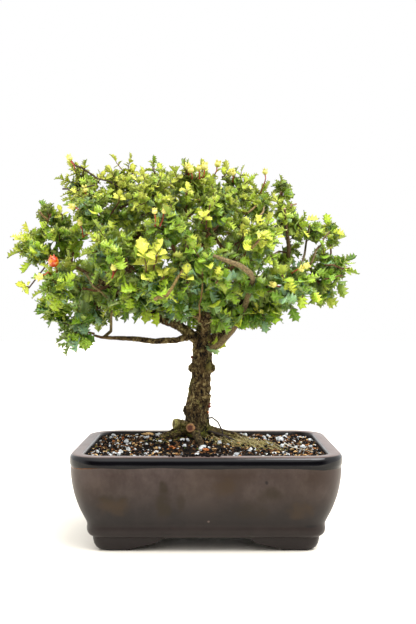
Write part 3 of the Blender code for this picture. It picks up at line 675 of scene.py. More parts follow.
def bark_finish():
    """Fine upright scales of old bark with broken cracks, relief partly in painted shade and highlight,
    olive growth on it, and a darker foot.
    """
    bark = Finish("bark", Roughness=0.88, Specular_IOR_Level=0.25)
    ridge = bark.attribute("ridge")
    girth = bark.attribute("girth")
    fine = bark.noise(640.0, 6.0, (1, 1, 0.38), 0.66)
    broad = bark.noise(150.0, 3.0, (1, 1, 0.6))
    patch = bark.noise(60.0, 4.0)
    wander = {"Vector": bark.place(), "Scale": 300.0, "Detail": 3.0}
    wander = bark.add("ShaderNodeTexNoise", {}, wander, "Color")
    wander = bark.add("ShaderNodeVectorMath", {"operation": "SCALE"}, {0: wander, "Scale": 0.0050})
    where = bark.add("ShaderNodeVectorMath", {"operation": "ADD"}, {0: bark.place((1, 1, 0.36)), 1: wander})
    cells = {"Vector": where, "Scale": 520.0}
    edge = bark.add("ShaderNodeTexVoronoi", {"feature": "DISTANCE_TO_EDGE"}, cells, "Distance")
    crack = (1 - edge.between(0.02, 0.24)) * bark.noise(210.0, 2.0).between(0.36, 0.60)
    # Colour by relief: dark furrows, partly painted shade, and pale ridges, partly a painted highlight.
    level = ridge * 0.55 + fine * 0.62 + (broad - 0.5) * 0.50 - crack * 0.30
    old = bark.mix(level.between(0.30, 0.58), BARK_FURROW_AND_SHADE, BARK_BROWN)
    old = bark.mix(level.between(0.56, 0.90), old, BARK_CREST_AND_HIGHLIGHT)
    # The bark is darker towards the soil at the foot.
    foot = 1 - (bark.part_of(bark.place(), 2) + (patch - 0.5) * 0.03).between(0.100, 0.132)
    old = bark.mix(foot * 0.55, old, BARK_FOOT_DARK)
    green = patch.between(0.46, 0.62) * girth.between(0.2, 0.7) * (0.45 + foot * 0.40)
    old = bark.mix(green * level.between(0.3, 0.6), old, MOSS)
    young = bark.mix(fine.between(0.3, 0.7), BARK_YOUNG, BARK_TWIG)
    bark.blend(girth.between(0.06, 0.22), young, old)
    bark.bump(fine + bark.noise(1300.0, 3.0) * 0.4 - crack * 0.7, 0.0014)
    return bark


def bark_ridge(point):
    """How proud the bark stands at a point: its lumps, its upright furrows and its crust."""
    lumps = noise.noise(point * 130) * 0.8
    furrow = 1 - abs(noise.noise(Vector((point.x, point.y, point.z * 0.45)) * 330)) * 2.2
    crust = noise.noise(point * 520) * 0.4
    return lumps * 0.6 + furrow * 0.5 + crust


bm = bmesh.new()
bm.from_mesh(frame["nodes"]["wood"].data)
bmesh.ops.remove_doubles(bm, verts=bm.verts, dist=1e-6)
bark = bark_finish()
wood = new_piece(bm, "trunk_and_limbs", [bark])
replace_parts(wood, "wood")
grown = wood.modifiers.new("grown", "REMESH")
grown.mode = "VOXEL"
grown.voxel_size = VOXEL
grown.use_smooth_shade = True
ease = wood.modifiers.new("ease", "SMOOTH")
ease.factor = 0.5
ease.iterations = EASE_ROUNDS
bake_shape(wood)
bm = bmesh.new()
bm.from_mesh(wood.data)
tree = BVHTree.FromBMesh(bm)
bm.normal_update()
ridges = bm.verts.layers.float.new("ridge")
girths = bm.verts.layers.float.new("girth")
moved = []
for vertex in bm.verts:
    hit = tree.ray_cast(vertex.co - vertex.normal * 0.0002, -vertex.normal, GIRTH_REACH)[3]
    girth = min((hit or GIRTH_FULL) / GIRTH_FULL, 1.0)
    ridge = bark_ridge(vertex.co)
    vertex[ridges] = min(max(0.5 + 0.5 * ridge, 0), 1)
    vertex[girths] = girth
    relief = min(girth * GIRTH_FULL * FURROW_SHARE, FURROW_MOST)
    moved.append(vertex.co + vertex.normal * (BARK_PROUD + relief * (ridge - 0.35)))
for vertex, place in zip(bm.verts, moved):
    vertex.co = place
bm.to_mesh(wood.data)
bm.free()
wood.data.shade_smooth()

# Cut ends and trunk buds: two root stubs sawn off close to the trunk, each with a ring of callus round
# its wood, and a few small red buds that sit on the bark.
CUT_PROFILE = (
    (0.30, 0.04), (0.50, 0.00), (0.78, 0.08), (0.94, 0.02), (1.02, -0.20), (1.10, -0.60), (1.00, -1.05),
    (0.6, -1.4),
)
CUT_SIDES = 20
CUT_RING = 0.65
CUTS = (
    ((-0.0155, -0.0190, 0.1065), (-0.0035, -0.0150, 0.0025), 0.0044, (92, 48, 36), (160, 118, 76)),
    ((-0.0310, -0.0060, 0.1090), (-0.0190, -0.0080, 0.0020), 0.0052, (104, 92, 50), (158, 150, 84)),
)
CUT_PROUD = 0.0012
BUDS_BEFORE = -0.004
TRUNK_BUDS = (
    (-0.0200, 0.1756, 0.0014, (132, 58, 36)),
    (0.0062, 0.1257, 0.0016, (140, 62, 42)),
    (0.0080, 0.1281, 0.0012, (120, 50, 36)),
    (0.0040, 0.1202, 0.0013, (206, 118, 58)),
)
TWIG_DARK = colour(58, 42, 26)


def tinted():
    """A bmesh for leaves, stems and cut wood, and the layer that holds their tint."""
    bm = bmesh.new()
    bm.loops.layers.uv.new("blade")
    return bm, bm.verts.layers.float_color.new("tint")


def turned(bm, profile, sides):
    """Spins a profile of (radius, height) points into a round shape about the Z axis."""
    line = [bm.verts.new((radius, 0, height)) for radius, height in profile]
    edges = [bm.edges.new(pair) for pair in zip(line, line[1:])]
    bmesh.ops.spin(bm, geom=line + edges, axis=(0, 0, 1), cent=(0, 0, 0), steps=sides, angle=math.tau,
                   use_merge=True)


def stood(place, axis):
    """The move that stands a shape from the origin at a place, with its Z along an axis."""
    return Matrix.Translation(place) @ axis.to_track_quat("Z", "Y").to_matrix().to_4x4()


def cut_face(bm, layer, middle, axis, radius, heart, ring):
    """The sawn face of a stub: darker wood within a paler ring of callus."""
    turned(bm, CUT_PROFILE, CUT_SIDES)
    inner = [edge for edge in bm.edges
             if edge.is_boundary and all(math.hypot(*vertex.co.xy) < 0.4 for vertex in edge.verts)]
    bmesh.ops.edgeloop_fill(bm, edges=inner)
    for vertex in bm.verts:
        on_ring = math.hypot(*vertex.co.xy) > CUT_RING and vertex.co.z > -0.3
        vertex[layer] = Vector(ring if on_ring else heart) * random.uniform(0.8, 1.15)
        vertex.co *= 1 + 0.06 * noise.noise(vertex.co * 2 + axis)
    bmesh.ops.transform(bm, matrix=stood(middle, axis) @ Matrix.Scale(radius, 4), verts=bm.verts)


def tint_finish(name, pattern, span, share, dark, **fixed):
    """A finish in its vertices' own tint, which a noise pattern darkens in part."""
    finish = Finish(name, **fixed)
    patches = finish.noise(*pattern).between(*span) * share
    finish.blend(patches, finish.attribute("tint", "Color"), dark)
    return finish


random.seed(5)
cut_wood = tint_finish("cut_wood", (900.0, 4.0), (0.4, 0.7), 0.5, TWIG_DARK, Roughness=0.85)
cut_wood.bump(cut_wood.noise(1100.0), 0.0006)
for number, (end, way, radius, heart, ring) in enumerate(CUTS):
    bm, layer = tinted()
    axis = Vector(way).normalized()
    middle = Vector(end) + Vector((POT_X, 0, 0)) + axis * CUT_PROUD
    cut_face(bm, layer, middle, axis, radius, *palette(heart, ring))
    bmesh.ops.recalc_face_normals(bm, faces=bm.faces)
    new_piece(bm, "cut_end_%d" % (number + 1), [cut_wood])
bm, layer = tinted()
for x, z, size, shade in TRUNK_BUDS:
    place, outward = tree.find_nearest(Vector((POT_X + x, BUDS_BEFORE, z)))[:2]
    place += outward * size * 0.6
    lump = bmesh.ops.create_icosphere(bm, subdivisions=2, radius=size, matrix=Matrix.Translation(place))
    for vertex in lump["verts"]:
        vertex[layer] = Vector(colour(*shade))
        vertex.co += (vertex.co - place) * 0.5 * noise.noise(vertex.co * 900)
new_piece(bm, "trunk_buds", [cut_wood])

# Fine roots and moss: right of the trunk thin roots fan out over the soil, two of them nearly black. A
# mat of tan and green moss with straws of dry fibre lies among them, and a thinner one on the left.
ROOT_FAN = 40
ROOT_HEADINGS = (-62, 12)
ROOT_LENGTHS = (0.026, 0.060)
ROOT_THICK = (0.0004, 0.0011)
ROOT_SHADES = palette((116, 104, 58), (150, 130, 82), (86, 76, 40), (58, 46, 26), (186, 168, 116))
ROOT_BLACK = colour(34, 26, 20)
ROOT_PROUD = 0.0004
ROOT_WANDER = 0.20
ROOT_POINTS = 8
BLACK_ROOTS = (
    (0.0008, ((0.0005, -0.006, 0.1145), (0.0060, -0.012, 0.1160), (0.0115, -0.014, 0.1120),
              (0.0160, -0.016, 0.1030), (0.0170, -0.017, 0.0940))),
    (0.0015, ((0.0020, -0.010, 0.1020), (0.0130, -0.018, 0.1000), (0.0240, -0.024, 0.0965),
              (0.0350, -0.028, 0.0900))),
)
OVER_ROOTS = 0.112
MOSS_FROM = Vector((0.010, -0.014))
MOSS_TO = Vector((0.060, -0.026))
LEFT_FROM = Vector((-0.020, -0.012))
LEFT_TO = Vector((-0.050, -0.017))
LEFT_SHARE = 0.35
MOSS_SPREAD = 0.0080
MOSS_TUFTS = 760
TUFT_SIZES = (0.0004, 0.0011)
MOSS_STRAWS = 330
STRAW_LENGTHS = (0.008, 0.024)
STRAW_HEADING = (-0.45, 0.6)
MOSS_DARK = colour(48, 44, 20)
STRAW_THICK = (0.00034, 0.00032, 0.00026, 0.00016)
MOSS_SHADES = palette((120, 114, 56), (152, 140, 84), (94, 98, 38), (136, 122, 66))
STRAW_SHADES = palette((176, 160, 98), (140, 132, 70), (198, 184, 132))
WHITE_STRAW = colour(228, 224, 208)
WHITE_FROM = Vector((0.084, -0.020))
WHITE_STRAWS = 14
spare = bpy.data.meshes.new("spare")


def join(bm, part):
    """Adds one bmesh to another and frees it."""
    part.to_mesh(spare)
    part.free()
    bm.from_mesh(spare)


def stalk(bm, route, radii, shade, sides=5):
    """A thin round stem along a route: a ring of vertices at each point, bridged to the next."""
    stem, layer = tinted()
    rings = []
    for index, (point, radius) in enumerate(zip(route, radii)):
        ahead = route[min(index + 1, len(route) - 1)] - route[max(index - 1, 0)]
        ring = bmesh.ops.create_circle(stem, segments=sides, radius=radius, matrix=stood(point, ahead))
        rings.append(edges_of(ring["verts"]))
    for lower, upper in zip(rings, rings[1:]):
        bmesh.ops.bridge_loops(stem, edges=lower + upper)
    for end in (rings[0], rings[-1]):
        bmesh.ops.edgeloop_fill(stem, edges=end)
    bmesh.ops.recalc_face_normals(stem, faces=stem.faces)
    for vertex in stem.verts:
        vertex[layer] = shade
    for face in stem.faces:
        face.material_index = 1
    join(bm, stem)


def in_moss(start, end):
    """A random place in a mat of moss that runs from start to end."""
    middle = start.lerp(end, random.random())
    return POT_X + random.gauss(middle.x, MOSS_SPREAD), random.gauss(middle.y, MOSS_SPREAD)


def root_top(x, y):
    """The top of the roots, or of the soil where there is none."""
    hit = tree.ray_cast(Vector((x, y, OVER_ROOTS)), Vector((0, 0, -1)))[0]
    return max(hit.z if hit else 0, soil_height(x, y))


def along_soil(x, y, heading, length, steps, lift):
    """A wandering line over the soil from a place, which starts higher by lift and sinks to the soil."""
    route = []
    for step in range(steps):
        high = ROOT_PROUD + lift * (1 - step / (steps - 1)) ** 2
        route.append(Vector((x, y, soil_height(x, y) + high)))
        heading += random.gauss(0, ROOT_WANDER)
        x += math.cos(heading) * length / steps
        y += math.sin(heading) * length / steps
    return route


random.seed(19)
moss = tint_finish("moss", (1200.0, 4.0), (0.35, 0.7), 0.6, MOSS_DARK, Roughness=0.95,
                   Specular_IOR_Level=0.2)
moss.bump(moss.noise(2000.0, 3.0), 0.0008)
flakes = (620.0, 6.0, (1, 1, 1), 0.66)
twig = tint_finish("twig_bark", flakes, (0.42, 0.62), 0.7, TWIG_DARK, Roughness=0.7)
twig.bump(twig.noise(*flakes), 0.0010)
bm, _ = tinted()
for _ in range(ROOT_FAN):
    heading = math.radians(random.uniform(*ROOT_HEADINGS))
    x = POT_X + random.uniform(0.002, 0.016)
    y = random.uniform(-0.016, -0.002)
    thick = random.uniform(*ROOT_THICK)
    length = random.uniform(*ROOT_LENGTHS)
    route = along_soil(x, y, heading, length, ROOT_POINTS, random.uniform(0.001, 0.006))
    radii = [thick * (1 - 0.09 * step) for step in range(ROOT_POINTS)]
    stalk(bm, route, radii, Vector(random.choice(ROOT_SHADES)))
for thick, points in BLACK_ROOTS:
    route = [Vector((POT_X + x, y, z)) for x, y, z in points]
    stalk(bm, route, [thick] * len(route), Vector(ROOT_BLACK), 6)
new_piece(bm, "fine_roots", [moss, twig])
bm, layer = tinted()
tufts = grain_shapes((1.7, 1.0, 0.5), 1)
for _ in range(MOSS_TUFTS):
    shade = Vector(random.choice(MOSS_SHADES)) * random.uniform(0.5, 1.0)
    x, y = in_moss(LEFT_FROM, LEFT_TO) if random.random() < LEFT_SHARE else in_moss(MOSS_FROM, MOSS_TO)
    for vertex in drop_grain(bm, random.choice(tufts), x, y, random.uniform(*TUFT_SIZES), root_top):
        vertex[layer] = shade
for number in range(MOSS_STRAWS + WHITE_STRAWS):
    white = number >= MOSS_STRAWS
    x, y = in_moss(WHITE_FROM, WHITE_FROM) if white else in_moss(MOSS_FROM, MOSS_TO)
    heading = random.gauss(*STRAW_HEADING)
    length = random.uniform(*STRAW_LENGTHS)
    route = along_soil(x, y, heading, length, len(STRAW_THICK), random.uniform(0, 0.004))
    shade = WHITE_STRAW if white else random.choice(STRAW_SHADES)
    stalk(bm, route, STRAW_THICK, Vector(shade), 3)
new_piece(bm, "moss_mat", [moss, twig])

# Leaves: small leathery holly blades, folded along the rib and waved between their spines, in
# opposite pairs up each shoot. A spray is a dozen such shoots that fan out of one twig's end, and the
# crown keeps some windows of daylight.
BLADE = (
    (0.00, 0.02), (0.10, 0.15), (0.25, 0.47), (0.36, 0.28), (0.52, 0.52), (0.62, 0.28),
    (0.78, 0.42), (0.87, 0.14), (1.00, 0.00),
)
YOUNG_BLADE = (
    (0.00, 0.02), (0.12, 0.12), (0.27, 0.36), (0.38, 0.35), (0.54, 0.47), (0.64, 0.38),
    (0.80, 0.34), (0.89, 0.16), (1.00, 0.00),
)
BLADE_THICK = 0.030
SPINE_LEAN = 0.05
LEAF_GREENS = palette((64, 96, 32), (101, 138, 38), (136, 171, 46), (172, 196, 58), (206, 216, 72),
                      (234, 236, 92))
# The next colour is a painted sheen: the bluish reflection of the pale room in glossy leaves.
LEAF_BLUE_SHEEN = colour(116, 150, 122)
LEAF_CLOUD = colour(52, 66, 24)
LEAF_VEIN = colour(186, 200, 96)
LEAF_EDGE = colour(206, 210, 96)
LEAF_UNDER = colour(152, 158, 92)
LEAF_MISSING = 0.06
# The next number paints low leaves brighter, for light thrown up from the floor (painted light).
LOW_BOUNCE_LIGHT = 1.30
YOUNG = 0.70
LEAF_SIZES = (0.0090, 0.0150)
LOW_LEAVES = 1.38
HIGH_LEAVES = 0.74
SHOOT_PAIRS = (0.30, 0.50, 0.69, 0.87)
TOP_PAIRS = (0.24, 0.41, 0.57, 0.72, 0.87)
SHOOT_THICK = (0.00075, 0.0006, 0.0005, 0.0004)
SPRAY_THICK = (0.0013, 0.0011, 0.0008)
SPRAY_AGES = {"leaf_dark": 0.25, "leaf_mid": 0.33, "leaf_young": 0.44}
EXTRA_REACH = (0.015, 0.024)
TIP_APART = math.radians(24)
TIP_FROM = 0.0205
TWIG_BROWN = colour(124, 84, 54)
WINDOWS = (
    (0.000, 0.249, 0.005), (0.027, 0.251, 0.005), (0.042, 0.252, 0.005), (0.012, 0.233, 0.005),
    (0.031, 0.224, 0.006), (0.072, 0.282, 0.010), (0.064, 0.293, 0.005), (0.104, 0.284, 0.007),
    (0.132, 0.288, 0.010), (0.094, 0.318, 0.010), (-0.088, 0.214, 0.009), (-0.068, 0.209, 0.010),
    (0.078, 0.240, 0.006), (-0.103, 0.273, 0.005), (-0.109, 0.267, 0.005), (-0.038, 0.230, 0.005),
    (-0.052, 0.204, 0.016), (-0.076, 0.208, 0.012), (-0.028, 0.206, 0.010), (0.095, 0.322, 0.009),
    (0.095, 0.333, 0.009), (0.131, 0.248, 0.009), (0.106, 0.319, 0.007), (0.076, 0.217, 0.008),
    (-0.149, 0.200, 0.009), (-0.139, 0.187, 0.008), (-0.140, 0.214, 0.008),
)


def blade_mesh(outline, fold, curl, wave, wide):
    """A blade one unit long from its stalk at the origin, up +X, facing +Z, with its own UV map."""
    bm = bmesh.new()
    bmesh.ops.create_grid(bm, x_segments=len(outline) - 1, y_segments=2, size=0.5)
    columns = sorted({round(vertex.co.x, 4) for vertex in bm.verts})
    sheet = bm.loops.layers.uv.new("blade")
    for vertex in bm.verts:
        step = columns.index(round(vertex.co.x, 4))
        along, half = outline[step]
        side = round(vertex.co.y * 2)
        lean = SPINE_LEAN * abs(side) if step % 2 == 0 and step else 0.0
        lift = abs(side) * (half * fold + wave * (1 if step % 2 == 0 else -0.6)) - curl * along * along
        vertex.co = ((along + lean) * (1 - curl * along * 0.3), side * half * wide, lift)
    for face in bm.faces:
        for loop in face.loops:
            loop[sheet].uv = (loop.vert.co.x, 0.5 + loop.vert.co.y)
    under = bmesh.ops.duplicate(bm, geom=bm.faces[:])["geom"]
    low_faces = only(under, BMFace)
    for vertex in only(under, BMVert):
        if abs(vertex.co.y) < 1e-6 and 0.01 < vertex.co.x < 0.93:
            vertex.co.z -= BLADE_THICK
    for face in low_faces:
        for loop in face.loops:
            loop[sheet].uv.y += 2.0
    bmesh.ops.reverse_faces(bm, faces=low_faces)
    bmesh.ops.remove_doubles(bm, verts=bm.verts, dist=1e-5)
    return as_mesh(bm, "blade")


def leaf_finish():
    """Leathery skin that lets some light through, with a pale rib, veins and edge, and a dull underside."""
    leaf = Finish("holly_leaf", Subsurface_Weight=0.25, Subsurface_Scale=0.0012,
                  Subsurface_Radius=(0.9, 1.0, 0.2), Specular_IOR_Level=0.42)
    tint = leaf.attribute("tint", "Color")
    sheet = leaf.add("ShaderNodeUVMap", {"uv_map": "blade"}, {})
    along = leaf.part_of(sheet, 0)
    across = leaf.part_of(sheet, 1)
    under = across.between(1.4, 1.6)
    off_rib = abs(across - 0.5 - under * 2.0)
    rib = 1 - off_rib.between(0.01, 0.045)
    veins = (along * 6.2 - off_rib * 5.0) * math.tau
    veins = veins.sum("SINE", veins)
    vein = veins.between(0.80, 1.0) * (1 - off_rib.between(0.30, 0.42))
    cloud = leaf.noise(240.0, 3.0)
    shade = leaf.mix(cloud.between(0.3, 0.75) * 0.30, tint, LEAF_CLOUD)
    shade = leaf.mix(vein * 0.22 + rib * 0.34, shade, LEAF_VEIN)
    shade = leaf.mix(off_rib.between(0.26, 0.44) * 0.34, shade, LEAF_EDGE)
    leaf.blend(under * 0.55, shade, LEAF_UNDER)
    leaf.drive("Roughness", 0.28 + cloud * 0.15 + under * 0.25)
    leaf.bump((1 - vein) * 0.6 - rib * 0.8 + cloud * 0.4, 0.0006, 0.8)
    return leaf


def add_leaf(bm, layer, blades, root, axis, face, length, shade):
    """Puts one blade with its stalk end at root, its tip along axis and its upper side to face."""
    x = axis.normalized()
    z = face - x * face.dot(x)
    z = z.normalized() if z.length > 1e-6 else x.orthogonal().normalized()
    y = z.cross(x)
    turn = Matrix((x, y, z)).transposed().to_4x4()
    place = Matrix.Translation(root) @ turn @ Matrix.Scale(length, 4)
    for vertex in put_in(bm, random.choice(blades), place):
        vertex[layer] = shade


def leaf_shade(freshness, low):
    """A green from an old leaf's, at 0, to a yellow new one's, at 1. Low leaves get painted bounce light
    and more often a bluish painted sheen.
    """
    place = min(max(freshness + random.gauss(0, 0.13), 0), 0.999) * (len(LEAF_GREENS) - 1)
    first = int(place)
    shade = Vector(LEAF_GREENS[first]).lerp(Vector(LEAF_GREENS[first + 1]), place - first)
    # Painted sheen: darker greens, more often low ones, are tinted bluish for the pale room they mirror.
    if place < 2.5 and random.random() < 0.10 + 0.25 * low:
        shade = shade.lerp(Vector(LEAF_BLUE_SHEEN), random.uniform(0.4, 0.9))
    # Painted light: low leaves are painted brighter, for light thrown up from the white floor.
    return shade * random.uniform(0.68, 1.18) * (0.95 + LOW_BOUNCE_LIGHT * low)


def lowness(point):
    """How low a point lies in the crown: 1 at its low end, 0 at its top."""
    return min(max((crown_high.z - point.z) / (crown_high.z - crown_low.z), 0), 1)


def leaf_scale(point):
    """Leaves are large low in the crown and small at its top, where the tree is clipped."""
    return HIGH_LEAVES + (LOW_LEAVES - HIGH_LEAVES) * lowness(point)


def in_window(point):
    """Whether a point, seen from the front, lies in a window of the crown."""
    return any(math.hypot(point.x - POT_X - x, point.z - z) < radius for x, z, radius in WINDOWS)


def some(spread):
    """A small random step in any direction."""
    return Vector([random.gauss(0, spread) for _ in range(3)])


def grow_shoot(bm, start, tip, outward, freshness, size, pairs=None):
    """A shoot that ends in a leaf at the tip, with opposite pairs of leaves set crosswise below it."""
    shoot, layer = tinted()
    blades = young_blades if freshness > YOUNG else old_blades
    freshness += random.gauss(0, 0.08)
    low = lowness(tip)
    last = random.uniform(*LEAF_SIZES) * size
    whole = tip - start
    end = tip - whole.normalized() * last * 0.85
    bow = outward.cross(whole).normalized() * random.uniform(-0.12, 0.12) * whole.length
    route = [start.lerp(end, t) + bow * math.sin(math.pi * t) for t in (0, 0.33, 0.66, 1)]
    stalk(shoot, route, SHOOT_THICK, Vector(TWIG_BROWN) * random.uniform(0.5, 1.1))
    spin = random.uniform(0, math.pi)
    for step, share in enumerate(pairs or (SHOOT_PAIRS if size > 1 else TOP_PAIRS)):
        place = share * 3
        part = min(int(place), 2)
        node = route[part].lerp(route[part + 1], place - part)
        along = (route[part + 1] - route[part]).normalized()
        angle = spin + step * math.pi / 2 + random.uniform(-0.35, 0.35)
        across = Matrix.Rotation(angle, 3, along) @ along.orthogonal()
        for side in (1, -1):
            if random.random() < LEAF_MISSING:
                continue
            axis = across * side * random.uniform(0.8, 1.1) + along * random.uniform(0.35, 0.9)
            face = along + outward * 0.5 + Vector((0, -0.1, 0.7)) + some(0.35)
            length = random.uniform(*LEAF_SIZES) * size * (1.08 - 0.3 * share)
            shade = leaf_shade(freshness + 0.35 * (share - 0.55), low)
            add_leaf(shoot, layer, blades, node, axis, face, length, shade)
    new = 0.38 if random.random() < 0.3 else 0.10
    face = outward * 0.3 + Vector((0, 0, 0.8)) + some(0.35)
    add_leaf(shoot, layer, blades, end, tip - end, face, last, leaf_shade(freshness + new, low))
    join(bm, shoot)


def volume_middle(mesh):
    """The middle of a closed mesh's volume."""
    total = 0.0
    middle = Vector()
    for face in mesh.polygons:
        a, b, c = (mesh.vertices[i].co for i in face.vertices)
        part = a.dot(b.cross(c)) / 6
        total += part
        middle += (a + b + c) / 4 * part
    return middle / total


def spray_tips(mesh, heart):
    """The tips of a spray's leaves: its furthest points that lie well apart."""
    tips = []
    for vertex in sorted(mesh.vertices, key=lambda v: -(v.co - heart).length):
        away = vertex.co - heart
        if away.length < TIP_FROM:
            break
        if all(away.angle(tip - heart) > TIP_APART for tip in tips):
            tips.append(vertex.co.copy())
    return tips


random.seed(29)
old_blades = [
    blade_mesh(BLADE, 0.30, 0.10, 0.05, 0.86),
    blade_mesh(BLADE, 0.45, 0.26, 0.08, 0.76),
    blade_mesh(BLADE, 0.15, 0.08, 0.07, 0.94),
    blade_mesh(BLADE, 0.55, 0.16, 0.05, 0.66),
]
young_blades = [
    blade_mesh(YOUNG_BLADE, 0.22, 0.20, 0.03, 0.86),
    blade_mesh(YOUNG_BLADE, 0.34, 0.32, 0.03, 0.74),
]
leaf = leaf_finish()
sprays = sorted(name for name in frame["nodes"] if name.startswith("spray_"))
crown_low, crown_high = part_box(sprays[0])
for name in sprays:
    low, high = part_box(name)
    crown_low = Vector(map(min, crown_low, low))
    crown_high = Vector(map(max, crown_high, high))
crown_middle = (crown_low + crown_high) / 2
slots = {row["node"]: row["material_slot"] for row in frame["record"]["subparts"]}
hearts = []
leafy = []
for name in sprays:
    node = frame["nodes"][name].data
    heart = volume_middle(node)
    hearts.append(heart)
    foot = min((vertex.co for vertex in node.vertices), key=lambda co: tree.find_nearest(co)[3])
    aim = (heart - foot).normalized()
    bm, _ = tinted()
    stalk(bm, [foot, foot.lerp(heart, 0.5), heart], SPRAY_THICK, Vector(TWIG_BROWN))
    age = SPRAY_AGES[slots[name]] + 0.25 * (heart.z - crown_middle.z) / 0.08
    for tip in spray_tips(node, heart):
        start = foot.lerp(heart, random.uniform(0.45, 1.0))
        fresh = age + 0.12 * (tip.z - heart.z) / 0.022
        if not in_window(tip):
            grow_shoot(bm, start, tip, (tip - heart).normalized(), fresh, leaf_scale(tip))
    for _ in range(5 if heart.z > crown_middle.z else 4):
        away = some(1.0).normalized() + aim * 0.4
        tip = heart + away.normalized() * random.uniform(*EXTRA_REACH)
        if not in_window(tip):
            grow_shoot(bm, foot.lerp(heart, 0.8), tip, away, age - 0.1, leaf_scale(tip), SHOOT_PAIRS[1:])
    leafy.append(new_piece(bm, name + "_leaves", [leaf, twig]))
    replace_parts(leafy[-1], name)

# Inner shoots: young growth on the thin limbs inside the crown, between the sprays. Each shoot sits on
# the bark and leans outward and up, to the light.
SHOOT_GROUPS = 6
SHOOTS = 370
SHOOTS_APART = 0.0075
SHOOT_LENGTHS = (0.018, 0.032)
SHOOTS_ABOVE = 0.218
THIN_LIMB = 0.42
INNER_AGE = 0.43

random.seed(47)
girth_of = [item.value for item in wood.data.attributes["girth"].data]
places = []
order = list(range(len(wood.data.vertices)))
random.shuffle(order)
for index in order:
    if len(places) == SHOOTS:
        break
    vertex = wood.data.vertices[index]
    if vertex.co.z < SHOOTS_ABOVE or girth_of[index] > THIN_LIMB:
        continue
    if any((vertex.co - other).length < SHOOTS_APART for other, _ in places):
        continue
    lean = (vertex.co - crown_middle).normalized() * 0.8 + vertex.normal * 0.7 + Vector((0, 0, 0.35))
    lean = (lean + some(0.3)).normalized()
    tip = vertex.co + lean * random.uniform(*SHOOT_LENGTHS)
    if not in_window(tip) and not in_window(vertex.co.lerp(tip, 0.6)):
        places.append((vertex.co.copy(), tip))
for group in range(SHOOT_GROUPS):
    bm, _ = tinted()
    for start, tip in places[group::SHOOT_GROUPS]:
        fresh = INNER_AGE - 0.35 * lowness(tip)
        grow_shoot(bm, start, tip, (tip - crown_middle).normalized(), fresh, leaf_scale(tip))
    leafy.append(new_piece(bm, "inner_shoots_%d" % (group + 1), [leaf, twig]))

# Side twigs: shorter leafy twigs that fill the crown out between the sprays. Each leaves the nearest
# wood, or a spray's own twig, and carries a few shoots about its end.
SIDE_TWIGS = (
    (0.0750, -0.004, 0.3420), (-0.1456, 0.004, 0.3107), (-0.1446, -0.012, 0.2987),
    (-0.1546, -0.004, 0.3188), (-0.1366, 0.010, 0.2877), (-0.1265, -0.014, 0.2937),
    (-0.1195, 0.006, 0.3037), (-0.0844, -0.010, 0.3238), (-0.0894, 0.000, 0.3147),
    (-0.0754, -0.006, 0.3127), (-0.0914, 0.008, 0.3348), (-0.0533, -0.020, 0.2787),
    (-0.1606, 0.006, 0.2255), (-0.1486, -0.008, 0.2235), (0.1101, -0.006, 0.3017),
    (0.1231, 0.004, 0.3047), (0.1131, -0.004, 0.2496), (0.1171, 0.006, 0.2355),
    (0.0319, -0.016, 0.2897), (0.0740, -0.004, 0.2716), (0.0650, -0.012, 0.2215),
)
TWIG_SHOOTS = 4
SIDE_THICK = (0.0012, 0.0010, 0.0008)
SIDE_REACH = (0.012, 0.019)
SIDE_AGE = 0.30


def carrier(point):
    """The nearest place on the wood or at a spray's heart, for what grows out to a point."""
    return min([tree.find_nearest(point)[0]] + hearts, key=lambda co: (co - point).length)


random.seed(61)
bm, _ = tinted()
for x, y, z in SIDE_TWIGS:
    place = Vector((POT_X + x, y, z))
    start = carrier(place)
    stalk(bm, [start, start.lerp(place, 0.5) + some(0.001), place], SIDE_THICK, Vector(TWIG_BROWN))
    outward = (place - crown_middle).normalized()
    for _ in range(TWIG_SHOOTS):
        away = (some(1.0).normalized() * 0.9 + outward * 0.4 + Vector((0, 0, 0.2))).normalized()
        tip = place + away * random.uniform(*SIDE_REACH)
        base = place.lerp(start, random.uniform(0, 0.35))
        grow_shoot(bm, base, tip, away, SIDE_AGE, leaf_scale(tip))
leafy.append(new_piece(bm, "side_twigs", [leaf, twig]))

